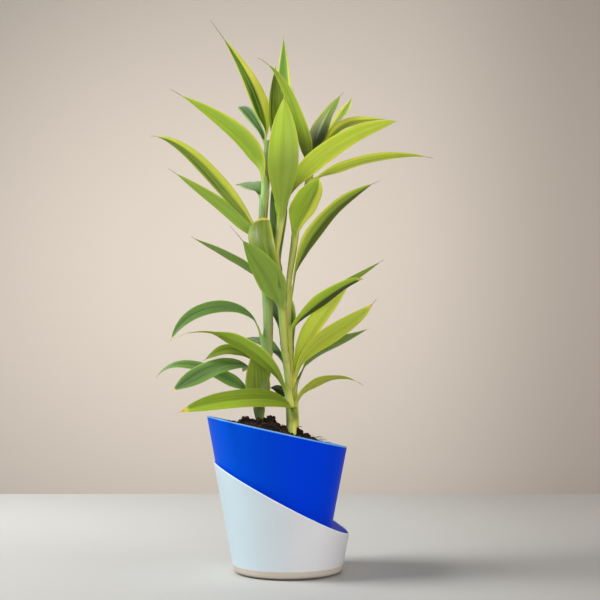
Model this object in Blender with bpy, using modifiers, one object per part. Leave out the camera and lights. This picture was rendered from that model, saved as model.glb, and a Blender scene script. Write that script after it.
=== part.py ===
"""Potted lucky bamboo: three leafy canes in soil, in a blue inner pot that stands in a white outer cup.

Metres, +Z up. The origin is the centre of the cup's flat foot. +X is the low side of both rims, where
water is poured into the gap between pot and cup, and -Y is the front.
"""

import math
from collections import namedtuple

import bmesh
import bpy
import numpy as np

MM = 0.001

# Both shells are cones with the same taper: radius gained for each unit of height
TAPER = 0.195
WALL = 1.2 * MM
FLOOR = 1.5 * MM
GAP = 0.3 * MM
TURNED_STEPS = 48
SHELL_ABOVE_RIM = 10 * MM
RIM_CUTTER = 400 * MM
SHARP_EDGE = math.radians(38)

# Outer cup: its rim is a slanted cut, high on the left and low on the right
CUP_FOOT_RADIUS = 43 * MM
CUP_FOOT_BEND = 5 * MM
CUP_RADIUS_AT_BEND = 48.2 * MM
CUP_FOOT_ROUNDING = ((46.6 * MM, 2.2 * MM), (44.2 * MM, 0.5 * MM))
CUP_INNER_CORNER = 3 * MM
CUP_RIM_LEFT = 96.3 * MM
CUP_RIM_RIGHT = 33.3 * MM

# Inner pot: it leans on the cup's left wall, so the water gap opens on the right
POT_X = -7.4 * MM
POT_RADIUS_AT_FLOOR = 39.3 * MM
POT_INNER_CORNER = 1 * MM
POT_FOOT_HEIGHT = 3 * MM
POT_FOOT_RING = 26 * MM
POT_FOOT_RING_WIDTH = 4 * MM
POT_FOOT_NOTCH = 14 * MM
POT_RIM_LEFT = 135.6 * MM
POT_RIM_RIGHT = 108.3 * MM
POT_RIM_TURN = math.radians(8)
DRAIN_HOLE = 7 * MM
DRAIN_RING = 17 * MM
DRAIN_COUNT = 6
DRAIN_HOLE_SIDES = 12

# The pot's feet stand on the cup's floor, its own floor lies over them, and the soil lies on that
POT_FEET_BASE = FLOOR + GAP
POT_BOTTOM = POT_FEET_BASE + POT_FOOT_HEIGHT
SOIL_BOTTOM = POT_BOTTOM + FLOOR + GAP

# Soil: a low heap that stands a little over the rim, with lumps as crossed waves of its surface
SOIL_RINGS = 9
SOIL_SEGMENTS = 40
SOIL_FROM_WALL = 0.48 * MM
SOIL_BELOW_RIM = 5 * MM
SOIL_HEAP = 9 * MM
SOIL_HEAP_X = -18 * MM
SOIL_HEAP_WIDE = 32 * MM
SOIL_HEAP_DEEP = 32 * MM
# Mounds on the heap, in millimetres: where each is, how high and how wide
SOIL_MOUNDS = ((-37, 2, 6, 8), (-15.5, -1, 7, 6), (-1, -5, 5, 5), (12, -6, 6, 8), (-22, -30, 2, 9),
               (-30, 32, 3, 10), (18, 22, 3, 9), (20, -30, 2.5, 8))
SOIL_LUMP = 1.1 * MM
SOIL_CHAMFER = 1 * MM
# Each wave's share of a lump, and its number of radians to the metre along two slanted directions
SOIL_WAVES = ((1.0, (430, 160), (-90, 510)), (0.6, (820, -300), (240, 760)))
CANE_HOLE_CLEARANCE = 0.5 * MM
CANE_HOLE_SIDES = 20
CANE_FOOT = 62 * MM

# Canes and leaves, in millimetres from the origin
CANE_STRAIGHT_TO = 118
CANE_BENDS_FROM = 128
CANE_TAPERS_FROM = 130
CANE_STEP = 7
CANE_CAP = 1.5
CANE_CAP_SHARE = 0.6
CANE_SIDES_RESOLUTION = 2
NODE_RING = 0.45
NODE_RING_BELOW_LEAF = 6
NODE_RING_SPREAD = 2.5
LEAF_THICKNESS = 0.72
LEAF_STATIONS = 14
LEAF_FOLD = math.radians(20)
LEAF_STALK_WIDTH = 6.0
LEAF_STALK_MOST = 0.5
LEAF_STALK_BLEND = 0.05
LEAF_TIP_WIDTH = 1.0
LEAF_POINT_START = 2.1
LEAF_POINT_END = 1.0
LEAF_TURN_SHARE = 0.35
LEAF_ROLL_SHARE = 0.3
LEAF_TWIST_FROM = 0.5
LEAF_TWIST_TO = 0.7
LEAF_UPRIGHT_RUN = 12
# Strips round the blade, by their first edge, that are split along the other diagonal than the rest
LEAF_TURNED_DIAGONALS = (1, 4, 5)

# Points that each cane's middle line passes, with its radius at the soil and at its top
Cane = namedtuple("Cane", "name line foot_radius top_radius colour")
CANES = (
    Cane("left_leafy_cane",
         ((-24, 8, 62), (-24, 8, 112), (-24, 8, 145), (-21, 9, 175), (-18.5, 10, 209), (-19, 10, 245),
          (-21, 10, 268), (-23.5, 11, 300), (-23, 12, 325), (-21, 13, 345), (-20, 14, 367), (-18, 15, 390)),
         4.8, 2.9, (0.16, 0.30, 0.05)),
    Cane("front_leafy_cane",
         ((3, -9, 62), (3, -9, 112), (2, -9, 140), (0, -10, 172), (-3, -10, 195), (-5, -10, 222),
          (-6, -10, 245), (-9, -10, 265), (-11, -10, 280), (-9, -10, 295), (-6, -10, 312), (-5, -10, 330)),
         3.4, 2.5, (0.27, 0.42, 0.06)),
    Cane("rear_leafy_cane",
         ((6.5, 6, 62), (6.5, 6, 112), (6, 6, 135), (4.5, 5, 158), (2.5, 5, 178), (0, 5, 215), (0, 5, 245),
          (1, 5, 262), (4, 5, 282), (7, 5, 303), (12.5, 5, 326), (17.5, 5, 345), (21, 5, 362),
          (22.5, 5, 374)),
         3.4, 2.6, (0.25, 0.38, 0.06)),
)

# A leaf leaves its cane at `height` and ends at `tip`. `rise` and `droop` are its slope in degrees there
# and at the tip, `width` its widest. `heading` is the compass angle it sets out in, None for straight to
# the tip, `roll` how far it is turned about its midrib, `grip` and `reach` how stiffly it keeps its slope
# at both ends. `stalk` is the narrow share at its base, `crest` where it is widest, `thread` the share
# that its withered thread of a tip takes, and `twist` turns its outer part further.
Leaf = namedtuple("Leaf", "height tip rise droop width heading roll grip reach stalk crest thread twist",
                  defaults=(None, 0, 0.36, 0.36, 0.1, 0.45, 0.02, 0))
LEAVES = {
    "left_leafy_cane": (
        Leaf(382, (-72, -5, 497), 85, 50, 19, heading=195, roll=-80, grip=0.3, reach=0.5, crest=0.38,
             thread=0.11),
        Leaf(385, (-50, 70, 437), 55, 0, 15, heading=140, roll=-15, grip=0.4, reach=0.12, crest=0.62),
        Leaf(348, (-107, -15, 429), 80, 25, 19, roll=50, grip=0.34, reach=0.46, stalk=0, crest=0.34,
             thread=0.07),
        Leaf(334, (-53, 80, 362), 45, 15, 21, heading=125, roll=-20, reach=0.32, crest=0.42),
        Leaf(301, (-122, -25, 383), 40, -5, 17, roll=40, grip=0.26, reach=0.28, crest=0.42, thread=0.04),
        Leaf(287, (-112, 20, 364), 60, 35, 15, heading=185, roll=65, grip=0.26, reach=0.38, crest=0.36,
             thread=0.06),
        Leaf(262, (-30, 95, 326), 68, 20, 17, heading=95),
        Leaf(252, (-89, 8, 298), 50, 30, 12, roll=35, grip=0.4, reach=0.38, crest=0.34, thread=0.03),
        Leaf(198, (-100, -45, 199), 75, -70, 15, heading=205, roll=-50, grip=0.56, reach=0.38, crest=0.5),
        Leaf(177, (-75, -10, 184), 40, -35, 16, heading=190, roll=-40, grip=0.48, reach=0.5, crest=0.56),
        Leaf(164, (-100, -35, 157), 60, -25, 24, heading=205, roll=-35, grip=0.48, reach=0.3, crest=0.6),
        Leaf(160, (-46, 88, 176), 60, -10, 17),
        Leaf(151, (-120, 12, 169), 30, -55, 17, heading=175, roll=-40, grip=0.34, reach=0.38, crest=0.28),
        Leaf(140, (-29, -8, 198), 70, 65, 24, heading=260, roll=20, grip=0.28, reach=0.34, crest=0.36),
    ),
    "front_leafy_cane": (
        Leaf(320, (4, 50, 450), 72, 80, 15, heading=70),
        Leaf(324, (-5, 30, 496), 85, 95, 18, grip=0.38, reach=0.3, crest=0.48),
        Leaf(322, (-12, 6, 457), 82, 95, 18, heading=130, grip=0.4, reach=0.3, crest=0.62),
        Leaf(307, (-4, -24, 420), 75, 100, 30, heading=275, roll=-15, grip=0.24, reach=0.32, stalk=0.08,
             crest=0.52),
        Leaf(311, (97, -35, 394), 82, 5, 25, heading=355, roll=-30, grip=0.42, reach=0.18, crest=0.4),
        Leaf(300, (-2, 82, 380), 70, 40, 18, heading=85),
        Leaf(262, (-8, 30, 390), 84, 80, 17, heading=115),
        Leaf(244, (-23, 0, 315), 45, 145, 25, heading=245, grip=0.4, reach=0.4, crest=0.56),
        Leaf(226, (-50, -46, 299), 78, 40, 26, heading=250, roll=50, grip=0.28, reach=0.3, crest=0.34,
             thread=0.2),
        Leaf(192, (-22, 85, 256), 70, 20, 18, heading=112, stalk=0.24, crest=0.55),
        Leaf(180, (-43, 62, 208), 25, 0, 15, heading=105, roll=-20, reach=0.42, stalk=0.28, crest=0.6),
        Leaf(153, (-92, -56, 202), 65, -35, 15, heading=215, roll=50, grip=0.42, reach=0.24, crest=0.34,
             twist=-50),
        Leaf(150, (-16, -9, 160), 50, -10, 9, roll=70),
        Leaf(128, (-91, -62, 139), 62, -20, 22, heading=340, roll=-50, reach=0.32, crest=0.54),
    ),
    "rear_leafy_cane": (
        Leaf(367, (94, 15, 410), 55, 5, 16, roll=45, grip=0.58, reach=0.56, crest=0.56),
        Leaf(367, (60, 40, 438), 60, 65, 18, heading=30, grip=0.5, reach=0.22, crest=0.62),
        Leaf(366, (51, 14, 435), 80, 50, 27, heading=25, roll=15, grip=0.34, reach=0.34, crest=0.4,
             thread=0.06),
        Leaf(359, (-28, -17, 457), 70, 10, 17, heading=235, roll=20, grip=0.22, reach=0.28, crest=0.28,
             thread=0.12),
        Leaf(347, (131, -8, 367), 30, -15, 14, heading=350, roll=-30, grip=0.28, reach=0.34, crest=0.32,
             thread=0.05),
        Leaf(300, (20, 88, 348), 70, 25, 18, heading=75),
        Leaf(294, (27, -30, 345), 85, 60, 29, heading=270, roll=-5, grip=0.34, reach=0.24, crest=0.5),
        Leaf(240, (85, 22, 353), 80, 25, 22, roll=-45, grip=0.4, reach=0.34, crest=0.42, thread=0.05),
        Leaf(213, (88, 25, 279), 42, 35, 15, heading=20, roll=-35, grip=0.4, reach=0.34, crest=0.4,
             thread=0.03),
        Leaf(211, (66, -34, 254), 45, -10, 18, heading=320, roll=-20, grip=0.26, reach=0.18, crest=0.48),
        Leaf(190, (0, 90, 256), 70, 15, 14, heading=80),
        Leaf(167, (57, 10, 258), 85, 50, 21, heading=360, roll=-55, grip=0.34, reach=0.28, crest=0.48),
        Leaf(166, (77, -32, 237), 75, 50, 19, heading=335, roll=-45, reach=0.32, crest=0.52, thread=0.05),
        Leaf(161, (75, 30, 216), 65, 30, 17, heading=25, roll=-40, grip=0.48, reach=0.38, crest=0.42),
        Leaf(148, (65, -30, 162), 45, -35, 14, heading=320, roll=-20, grip=0.34, reach=0.38, crest=0.42,
             thread=0.08),
    ),
}


def clear_scene():
    for obj in list(bpy.data.objects):
        bpy.data.objects.remove(obj, do_unlink=True)


def new_collection(name, hidden=False):
    collection = bpy.data.collections.new(name)
    collection.hide_render = hidden
    bpy.context.scene.collection.children.link(collection)
    return collection


def material(name, colour, roughness, metallic=0.0):
    made = bpy.data.materials.new(name)
    made.use_nodes = True
    shader = made.node_tree.nodes["Principled BSDF"]
    shader.inputs["Base Color"].default_value = (*colour, 1.0)
    shader.inputs["Roughness"].default_value = roughness
    shader.inputs["Metallic"].default_value = metallic
    return made


def new_object(name, collection, points=(), edges=(), faces=()):
    mesh = bpy.data.meshes.new(name)
    mesh.from_pydata(points, edges, faces)
    obj = bpy.data.objects.new(name, mesh)
    collection.objects.link(obj)
    return obj


def edit(mesh, operator, elements, **settings):
    """Runs a bmesh operator on all of the mesh's verts or faces."""
    bm = bmesh.new()
    bm.from_mesh(mesh)
    operator(bm, **{elements: getattr(bm, elements)}, **settings)
    bm.to_mesh(mesh)
    bm.free()


def bake(obj):
    """Replaces the object's mesh by its evaluated one, drops the modifiers and shades round sides smooth."""
    bpy.context.view_layer.update()
    evaluated = obj.evaluated_get(bpy.context.evaluated_depsgraph_get())
    mesh = bpy.data.meshes.new_from_object(evaluated)
    obj.modifiers.clear()
    obj.data = mesh
    mesh.shade_smooth()
    mesh.set_sharp_from_angle(angle=SHARP_EDGE)


def boolean(obj, other, operation):
    modifier = obj.modifiers.new(other.name, "BOOLEAN")
    modifier.operation = operation
    modifier.object = other


def turned(name, profile, collection):
    """Turns a run of (radius, height) points, from axis to axis, about Z."""
    points = [(radius, 0, height) for radius, height in profile]
    edges = [(i, i + 1) for i in range(len(points) - 1)]
    obj = new_object(name, collection, points, edges)
    screw = obj.modifiers.new("Turn", "SCREW")
    screw.steps = screw.render_steps = TURNED_STEPS
    screw.use_merge_vertices = True
    screw.merge_threshold = 0.01 * MM
    return obj


def cutter(name, cutters, make, **settings):
    """An object that is only cut with, from a bmesh primitive centred on its origin."""
    obj = new_object(name, cutters)
    bm = bmesh.new()
    make(bm, **settings)
    bm.to_mesh(obj.data)
    bm.free()
    obj.hide_render = True
    obj.display_type = "WIRE"
    return obj


def rim_cutter(name, left_x, left_z, right_x, right_z, turn, cutters):
    """A block whose lower face runs through the left and right rim heights, falling in a direction turned
    a little from +X towards the back."""
    obj = cutter(name, cutters, bmesh.ops.create_cube, size=RIM_CUTTER)
    edit(obj.data, bmesh.ops.translate, "verts", vec=(0, 0, RIM_CUTTER / 2))
    obj.location = ((left_x + right_x) / 2, 0, (left_z + right_z) / 2)
    obj.rotation_euler = (0, math.atan2(left_z - right_z, (right_x - left_x) * math.cos(turn)), turn)
    return obj


def hole_cutter(name, radius, x, y, low, high, sides, cutters):
    """An upright cylinder from one height to another."""
    obj = cutter(name, cutters, bmesh.ops.create_cone, cap_ends=True, segments=sides,
                 radius1=radius, radius2=radius, depth=high - low)
    obj.location = (x, y, (low + high) / 2)
    return obj


def cup_radius(z):
    return CUP_RADIUS_AT_BEND + TAPER * (z - CUP_FOOT_BEND)


def pot_radius(z):
    return POT_RADIUS_AT_FLOOR + TAPER * (z - POT_BOTTOM)


def pot_rim(x, y):
    """Height of the pot's rim plane: it falls from the left to the right, and a little to the back."""
    left, right = POT_X - pot_radius(POT_RIM_LEFT), POT_X + pot_radius(POT_RIM_RIGHT)
    fall = (POT_RIM_RIGHT - POT_RIM_LEFT) / (right - left)
    return POT_RIM_LEFT + fall * (x - left + y * math.tan(POT_RIM_TURN))


def outer_cup(collection, cutters):
    """A tapered cup with a rounded foot, turned as a profile and cut off along its slanted rim."""
    top = CUP_RIM_LEFT + SHELL_ABOVE_RIM
    corner = FLOOR + CUP_INNER_CORNER
    profile = [
        (0, FLOOR),
        (cup_radius(FLOOR) - WALL - CUP_INNER_CORNER, FLOOR),
        (cup_radius(corner) - WALL, corner),
        (cup_radius(top) - WALL, top),
        (cup_radius(top), top),
        (CUP_RADIUS_AT_BEND, CUP_FOOT_BEND),
        *CUP_FOOT_ROUNDING,
        (CUP_FOOT_RADIUS, 0),
        (0, 0),
    ]
    cup = turned("outer_cup", profile, collection)
    rim = rim_cutter("cup_rim_cut", -cup_radius(CUP_RIM_LEFT), CUP_RIM_LEFT,
                     cup_radius(CUP_RIM_RIGHT), CUP_RIM_RIGHT, 0, cutters)
    boolean(cup, rim, "DIFFERENCE")
    bake(cup)
    cup.data.materials.append(material("white_plastic", (0.80, 0.81, 0.83), 0.42))


def inner_pot(collection, cutters):
    """A tapered pot on a notched foot ring, with drain holes in its floor and a slanted rim."""
    top = POT_RIM_LEFT + SHELL_ABOVE_RIM
    ring = POT_FOOT_RING - POT_FOOT_RING_WIDTH
    floor = POT_BOTTOM + FLOOR
    profile = [
        (0, floor),
        (pot_radius(POT_BOTTOM) - WALL - POT_INNER_CORNER, floor),
        (pot_radius(floor) - WALL, floor + POT_INNER_CORNER),
        (pot_radius(top) - WALL, top),
        (pot_radius(top), top),
        (pot_radius(POT_BOTTOM), POT_BOTTOM),
        (POT_FOOT_RING, POT_BOTTOM),
        (POT_FOOT_RING, POT_FEET_BASE),
        (ring, POT_FEET_BASE),
        (ring, POT_BOTTOM),
        (0, POT_BOTTOM),
    ]
    pot = turned("inner_pot", profile, collection)
    pot.location.x = POT_X
    rim = rim_cutter("pot_rim_cut", POT_X - pot_radius(POT_RIM_LEFT), POT_RIM_LEFT,
                     POT_X + pot_radius(POT_RIM_RIGHT), POT_RIM_RIGHT, POT_RIM_TURN, cutters)
    boolean(pot, rim, "DIFFERENCE")
    for side in range(2):
        notch = cutter(f"foot_notch_{side + 1}", cutters, bmesh.ops.create_cube, size=1)
        across = (3 * POT_FOOT_RING, POT_FOOT_NOTCH, 2 * POT_FOOT_HEIGHT)
        edit(notch.data, bmesh.ops.scale, "verts", vec=across)
        notch.location = (POT_X, 0, POT_BOTTOM - POT_FOOT_HEIGHT)
        notch.rotation_euler.z = math.radians(45 + 90 * side)
        boolean(pot, notch, "DIFFERENCE")
    for index in range(DRAIN_COUNT + 1):
        angle = 2 * math.pi * index / DRAIN_COUNT
        reach = DRAIN_RING if index < DRAIN_COUNT else 0
        hole = hole_cutter(f"drain_hole_{index + 1}", DRAIN_HOLE / 2,
                           POT_X + reach * math.cos(angle), reach * math.sin(angle),
                           POT_BOTTOM - FLOOR, floor + FLOOR, DRAIN_HOLE_SIDES, cutters)
        boolean(pot, hole, "DIFFERENCE")
    bake(pot)
    pot.data.materials.append(material("blue_plastic", (0.005, 0.075, 0.62), 0.38))


def soil_height(x, y):
    """The rim's slanted plane, a little lower, plus a broad heap, some mounds and crossed sine waves."""
    from_heap = ((x - SOIL_HEAP_X) / SOIL_HEAP_WIDE) ** 2 + (y / SOIL_HEAP_DEEP) ** 2
    waves = sum(share * math.sin(a * x + b * y) * math.cos(c * x + d * y)
                for share, (a, b), (c, d) in SOIL_WAVES)
    mounds = sum(high * MM * math.exp(-((x / MM - at_x) ** 2 + (y / MM - at_y) ** 2) / wide ** 2)
                 for at_x, at_y, high, wide in SOIL_MOUNDS)
    return pot_rim(x, y) - SOIL_BELOW_RIM + SOIL_HEAP * math.exp(-from_heap) + mounds + SOIL_LUMP * waves


def soil_reach(angle):
    """How far the soil's surface runs from the pot's axis, found by stepping along the cone to its height."""
    reach = pot_radius(POT_RIM_RIGHT)
    for _ in range(12):
        height = soil_height(POT_X + reach * math.cos(angle), reach * math.sin(angle))
        reach = pot_radius(height) - WALL - SOIL_FROM_WALL
    return reach


def soil(collection, cutters):
    """Rings of points: the heap from its middle out to the wall, then down the wall to the pot's floor."""
    angles = [2 * math.pi * k / SOIL_SEGMENTS for k in range(SOIL_SEGMENTS)]
    low = SOIL_BOTTOM + SOIL_CHAMFER
    low_radius = pot_radius(low) - WALL - SOIL_FROM_WALL
    points = [(POT_X, 0, soil_height(POT_X, 0))]
    for ring in range(1, SOIL_RINGS + 1):
        for angle in angles:
            reach = soil_reach(angle) * ring / SOIL_RINGS
            x, y = POT_X + reach * math.cos(angle), reach * math.sin(angle)
            points.append((x, y, soil_height(x, y)))
    for radius, height in ((low_radius, low), (low_radius - SOIL_CHAMFER, SOIL_BOTTOM)):
        points += [(POT_X + radius * math.cos(angle), radius * math.sin(angle), height) for angle in angles]
    points.append((POT_X, 0, SOIL_BOTTOM))

    faces = []
    for k in range(SOIL_SEGMENTS):
        after = (k + 1) % SOIL_SEGMENTS
        faces.append((0, 1 + k, 1 + after))
        for ring in range(SOIL_RINGS + 1):
            first = 1 + ring * SOIL_SEGMENTS
            second = first + SOIL_SEGMENTS
            faces.append((first + k, second + k, second + after, first + after))
        last = 1 + (SOIL_RINGS + 1) * SOIL_SEGMENTS
        faces.append((last + after, last + k, len(points) - 1))
    body = new_object("soil", collection, points, faces=faces)
    for cane in CANES:
        x, y, foot = (value * MM for value in cane.line[0])
        hole = hole_cutter(cane.name + "_hole", cane.foot_radius * MM + CANE_HOLE_CLEARANCE, x, y,
                           foot - CANE_HOLE_CLEARANCE, POT_RIM_LEFT + SOIL_HEAP, CANE_HOLE_SIDES, cutters)
        boolean(body, hole, "DIFFERENCE")
    bake(body)
    body.data.materials.append(material("dark_cocopeat", (0.035, 0.018, 0.011), 0.95))


def through(points, count):
    """Catmull-Rom curve: each stretch runs through its two points and heads along their neighbours."""
    line = np.array(points, float)
    line = np.vstack([2 * line[0] - line[1], line, 2 * line[-1] - line[-2]])
    out = []
    for place in np.linspace(0, len(points) - 1, count):
        i = min(int(place), len(points) - 2)
        t = place - i
        a, b, c, d = line[i:i + 4]
        out.append(0.5 * (2 * b + (c - a) * t + (2 * a - 5 * b + 4 * c - d) * t ** 2
                          + (3 * b - a - 3 * c + d) * t ** 3))
    return np.array(out)


def cane_at(cane, height):
    """The point of the cane's middle line at a height."""
    line = through(cane.line, 20 * len(cane.line))
    return np.array([np.interp(height, line[:, 2], line[:, axis]) for axis in (0, 1)] + [height])


def cane_radius(cane, height):
    """The cane thins evenly upwards, with a low ring where each leaf's sheath begins."""
    top = cane.line[-1][2]
    share = max(0, height - CANE_TAPERS_FROM) / (top - CANE_TAPERS_FROM)
    radius = cane.foot_radius + (cane.top_radius - cane.foot_radius) * share
    if height <= CANE_STRAIGHT_TO:
        return radius
    ring = sum(math.exp(-((height - leaf.height + NODE_RING_BELOW_LEAF) / NODE_RING_SPREAD) ** 2)
               for leaf in LEAVES[cane.name])
    return radius + NODE_RING * min(ring, 1.0)


def cane_body(cane, collection):
    """A bevelled curve through the cane's points, made a closed mesh."""
    foot, top = cane.line[0][2], cane.line[-1][2]
    bent = np.arange(CANE_BENDS_FROM, top, CANE_STEP)
    heights = np.concatenate([[foot, CANE_STRAIGHT_TO], bent, [top - CANE_CAP, top]])
    curve = bpy.data.curves.new(cane.name, "CURVE")
    curve.dimensions = "3D"
    curve.bevel_depth = 1 * MM
    curve.bevel_resolution = CANE_SIDES_RESOLUTION
    curve.use_fill_caps = True
    spline = curve.splines.new("POLY")
    spline.points.add(len(heights) - 1)
    for point, height in zip(spline.points, heights):
        point.co = (*(cane_at(cane, height) * MM), 1)
        # The curve's bevel is 1 mm, so a point's radius factor is its radius in millimetres
        point.radius = cane_radius(cane, height) * (CANE_CAP_SHARE if height == top else 1)
    guide = bpy.data.objects.new(cane.name + "_guide", curve)
    bpy.context.scene.collection.objects.link(guide)
    bpy.context.view_layer.update()
    evaluated = guide.evaluated_get(bpy.context.evaluated_depsgraph_get())
    obj = bpy.data.objects.new(cane.name, bpy.data.meshes.new_from_object(evaluated))
    obj.matrix_world = guide.matrix_world
    collection.objects.link(obj)
    bpy.data.objects.remove(guide, do_unlink=True)
    edit(obj.data, bmesh.ops.remove_doubles, "verts", dist=0.01 * MM)
    edit(obj.data, bmesh.ops.recalc_face_normals, "faces")
    return obj


def ease(low, high, t):
    """Smooth step: 0 before low, 1 after high, level at both ends."""
    x = np.clip((t - low) / (high - low), 0, 1)
    return x * x * (3 - 2 * x)


def slope(length, angle, compass):
    """A step of that length, rising at an angle towards a compass direction."""
    return length * np.array([math.cos(angle) * math.cos(compass), math.cos(angle) * math.sin(compass),
                              math.sin(angle)])


def leaf_midrib(leaf, start):
    """Cubic Bezier curve from the cane to the tip, with the blade's side and upper directions along it."""
    tip = np.array(leaf.tip, float)
    run = tip - start
    length = np.linalg.norm(run)
    out = math.atan2(run[1], run[0]) if leaf.heading is None else math.radians(leaf.heading)
    upright = leaf.droop > 90 or math.hypot(run[0], run[1]) < LEAF_UPRIGHT_RUN
    home = out if upright else math.atan2(run[1], run[0])
    first = start + slope(length * leaf.grip, math.radians(leaf.rise), out)
    last = tip - slope(length * leaf.reach, math.radians(leaf.droop), home)
    t = np.linspace(0, 1, LEAF_STATIONS)[:, None]
    path = (1 - t) ** 3 * start + 3 * (1 - t) ** 2 * t * first + 3 * (1 - t) * t ** 2 * last + t ** 3 * tip
    along = (1 - t) ** 2 * (first - start) + 2 * (1 - t) * t * (last - first) + t ** 2 * (tip - last)
    along /= np.linalg.norm(along, axis=1)[:, None]
    turn = ease(0, LEAF_TURN_SHARE, t)
    side = ((1 - turn) * np.array([-math.sin(out), math.cos(out), 0])
            + turn * np.array([-math.sin(home), math.cos(home), 0]))
    side -= (side * along).sum(axis=1)[:, None] * along
    side /= np.linalg.norm(side, axis=1)[:, None]
    upper = np.cross(along, side)
    roll = np.radians(leaf.roll * ease(0, LEAF_ROLL_SHARE, t)
                      + leaf.twist * ease(LEAF_TWIST_FROM, LEAF_TWIST_TO, t))
    turned_side = np.cos(roll) * side + np.sin(roll) * upper
    return t[:, 0], path, turned_side, np.cross(along, turned_side)


def leaf_width(leaf, t):
    """A narrow stalk that widens to the crest and runs out in a point, with a thread left over past it."""
    stalk = min(LEAF_STALK_MOST, LEAF_STALK_WIDTH / leaf.width)
    grow = stalk + (1 - stalk) * ease(leaf.stalk - LEAF_STALK_BLEND, leaf.crest, t)
    past = np.clip((t - leaf.crest) / (1 - leaf.thread - leaf.crest), 0, 1)
    return np.maximum(leaf.width * grow * (1 - past ** LEAF_POINT_START) ** LEAF_POINT_END, LEAF_TIP_WIDTH)


def leaf_blade(name, leaf, start, collection):
    """A keeled blade: each station has its left edge, midrib and right edge, on both faces."""
    t, path, side, upper = leaf_midrib(leaf, start)
    half = (leaf_width(leaf, t) / 2)[:, None]
    out = half * math.cos(LEAF_FOLD) * side
    lift = half * math.sin(LEAF_FOLD) * upper
    skin = LEAF_THICKNESS / 2 * upper
    rows = np.stack([path + out + lift + skin, path + skin, path - out + lift + skin,
                     path - out + lift - skin, path - skin, path + out + lift - skin], axis=1)
    faces = [(0, 1, 4), (0, 4, 5), (1, 2, 3), (1, 3, 4)]
    for row in range(LEAF_STATIONS - 1):
        low, high = 6 * row, 6 * (row + 1)
        # Both faces of the blade are split along the same diagonals
        for a, b in ((0, 1), (1, 2), (2, 3), (3, 4), (4, 5), (5, 0)):
            if a in LEAF_TURNED_DIAGONALS:
                faces += [(low + a, high + a, low + b), (low + b, high + a, high + b)]
            else:
                faces += [(low + a, high + a, high + b), (low + a, high + b, low + b)]
    end = 6 * (LEAF_STATIONS - 1)
    faces += [(end, end + 4, end + 1), (end, end + 5, end + 4)]
    faces += [(end + 1, end + 3, end + 2), (end + 1, end + 4, end + 3)]
    points = [tuple(point) for point in rows.reshape(-1, 3) * MM]
    obj = new_object(name, collection, points, faces=faces)
    edit(obj.data, bmesh.ops.recalc_face_normals, "faces")


def leafy_cane(cane, collection):
    """One cane with its leaves, joined in one solid."""
    body = cane_body(cane, collection)
    leaves = new_collection(cane.name + "_leaves")
    for index, leaf in enumerate(LEAVES[cane.name]):
        leaf_blade(f"{cane.name}_leaf_{index + 1}", leaf, cane_at(cane, leaf.height), leaves)
    union = body.modifiers.new("Join leaves", "BOOLEAN")
    union.operation = "UNION"
    union.solver = "MANIFOLD"
    union.operand_type = "COLLECTION"
    union.collection = leaves
    bake(body)
    for leaf in list(leaves.objects):
        bpy.data.objects.remove(leaf, do_unlink=True)
    bpy.data.collections.remove(leaves)
    body.data.materials.clear()
    body.data.materials.append(material(cane.name + "_green", cane.colour, 0.45))


def main():
    clear_scene()
    parts = new_collection("Potted lucky bamboo")
    cutters = new_collection("Cutters", hidden=True)
    outer_cup(parts, cutters)
    inner_pot(parts, cutters)
    soil(parts, cutters)
    for cane in CANES:
        leafy_cane(cane, parts)


main()
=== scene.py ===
"""Potted lucky bamboo: fine leaves, canes, soil, inner pot and outer cup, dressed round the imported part.

Metres, +Z up, in the part's own frame. The origin is the centre of the cup's foot, +X is the low side of
both rims and -Y is the front.
"""

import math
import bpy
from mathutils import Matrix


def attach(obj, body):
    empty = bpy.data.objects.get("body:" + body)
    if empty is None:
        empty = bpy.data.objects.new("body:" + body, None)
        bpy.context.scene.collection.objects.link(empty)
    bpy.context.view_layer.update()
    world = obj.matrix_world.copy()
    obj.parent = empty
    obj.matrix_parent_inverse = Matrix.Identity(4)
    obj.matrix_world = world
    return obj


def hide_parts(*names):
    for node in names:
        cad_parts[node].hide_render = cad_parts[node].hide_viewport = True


bl_info = {
    "name": "Potted lucky bamboo",
    "version": (1, 0, 0),
    "blender": (4, 5, 0),
    "location": "View3D > Sidebar > Lucky bamboo",
    "description": "Builds a variegated lucky bamboo in a two-piece slanted planter, with a plain stage",
    "category": "Object",
}

from collections import namedtuple

import bmesh
import bpy
import numpy as np
from mathutils import Matrix, Vector

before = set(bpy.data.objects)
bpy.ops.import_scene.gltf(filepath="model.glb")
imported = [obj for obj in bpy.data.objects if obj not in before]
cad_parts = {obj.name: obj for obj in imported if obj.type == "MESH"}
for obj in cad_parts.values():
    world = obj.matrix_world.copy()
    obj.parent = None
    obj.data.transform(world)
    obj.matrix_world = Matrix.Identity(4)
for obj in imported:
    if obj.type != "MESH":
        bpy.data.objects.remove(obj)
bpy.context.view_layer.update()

MM = 0.001
BODY = "root"

# Shells of the planter, as the part has them
TAPER = 0.195
GAP = 0.3 * MM
FLOOR = 1.5 * MM
CUP_FOOT_RADIUS = 43 * MM
CUP_FOOT_BEND = 5 * MM
CUP_RADIUS_AT_BEND = 48.2 * MM
CUP_INNER_CORNER = 3 * MM
CUP_RIM_LEFT = 96.3 * MM
CUP_RIM_RIGHT = 33.3 * MM
POT_X = -7.4 * MM
POT_RADIUS_AT_FLOOR = 39.3 * MM
POT_FOOT_HEIGHT = 3 * MM
POT_FOOT_RING = 26 * MM
POT_FOOT_RING_WIDTH = 4 * MM
POT_FOOT_NOTCH = 14 * MM
POT_RIM_LEFT = 135.6 * MM
POT_RIM_RIGHT = 108.3 * MM
POT_RIM_TURN = math.radians(8)
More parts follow.
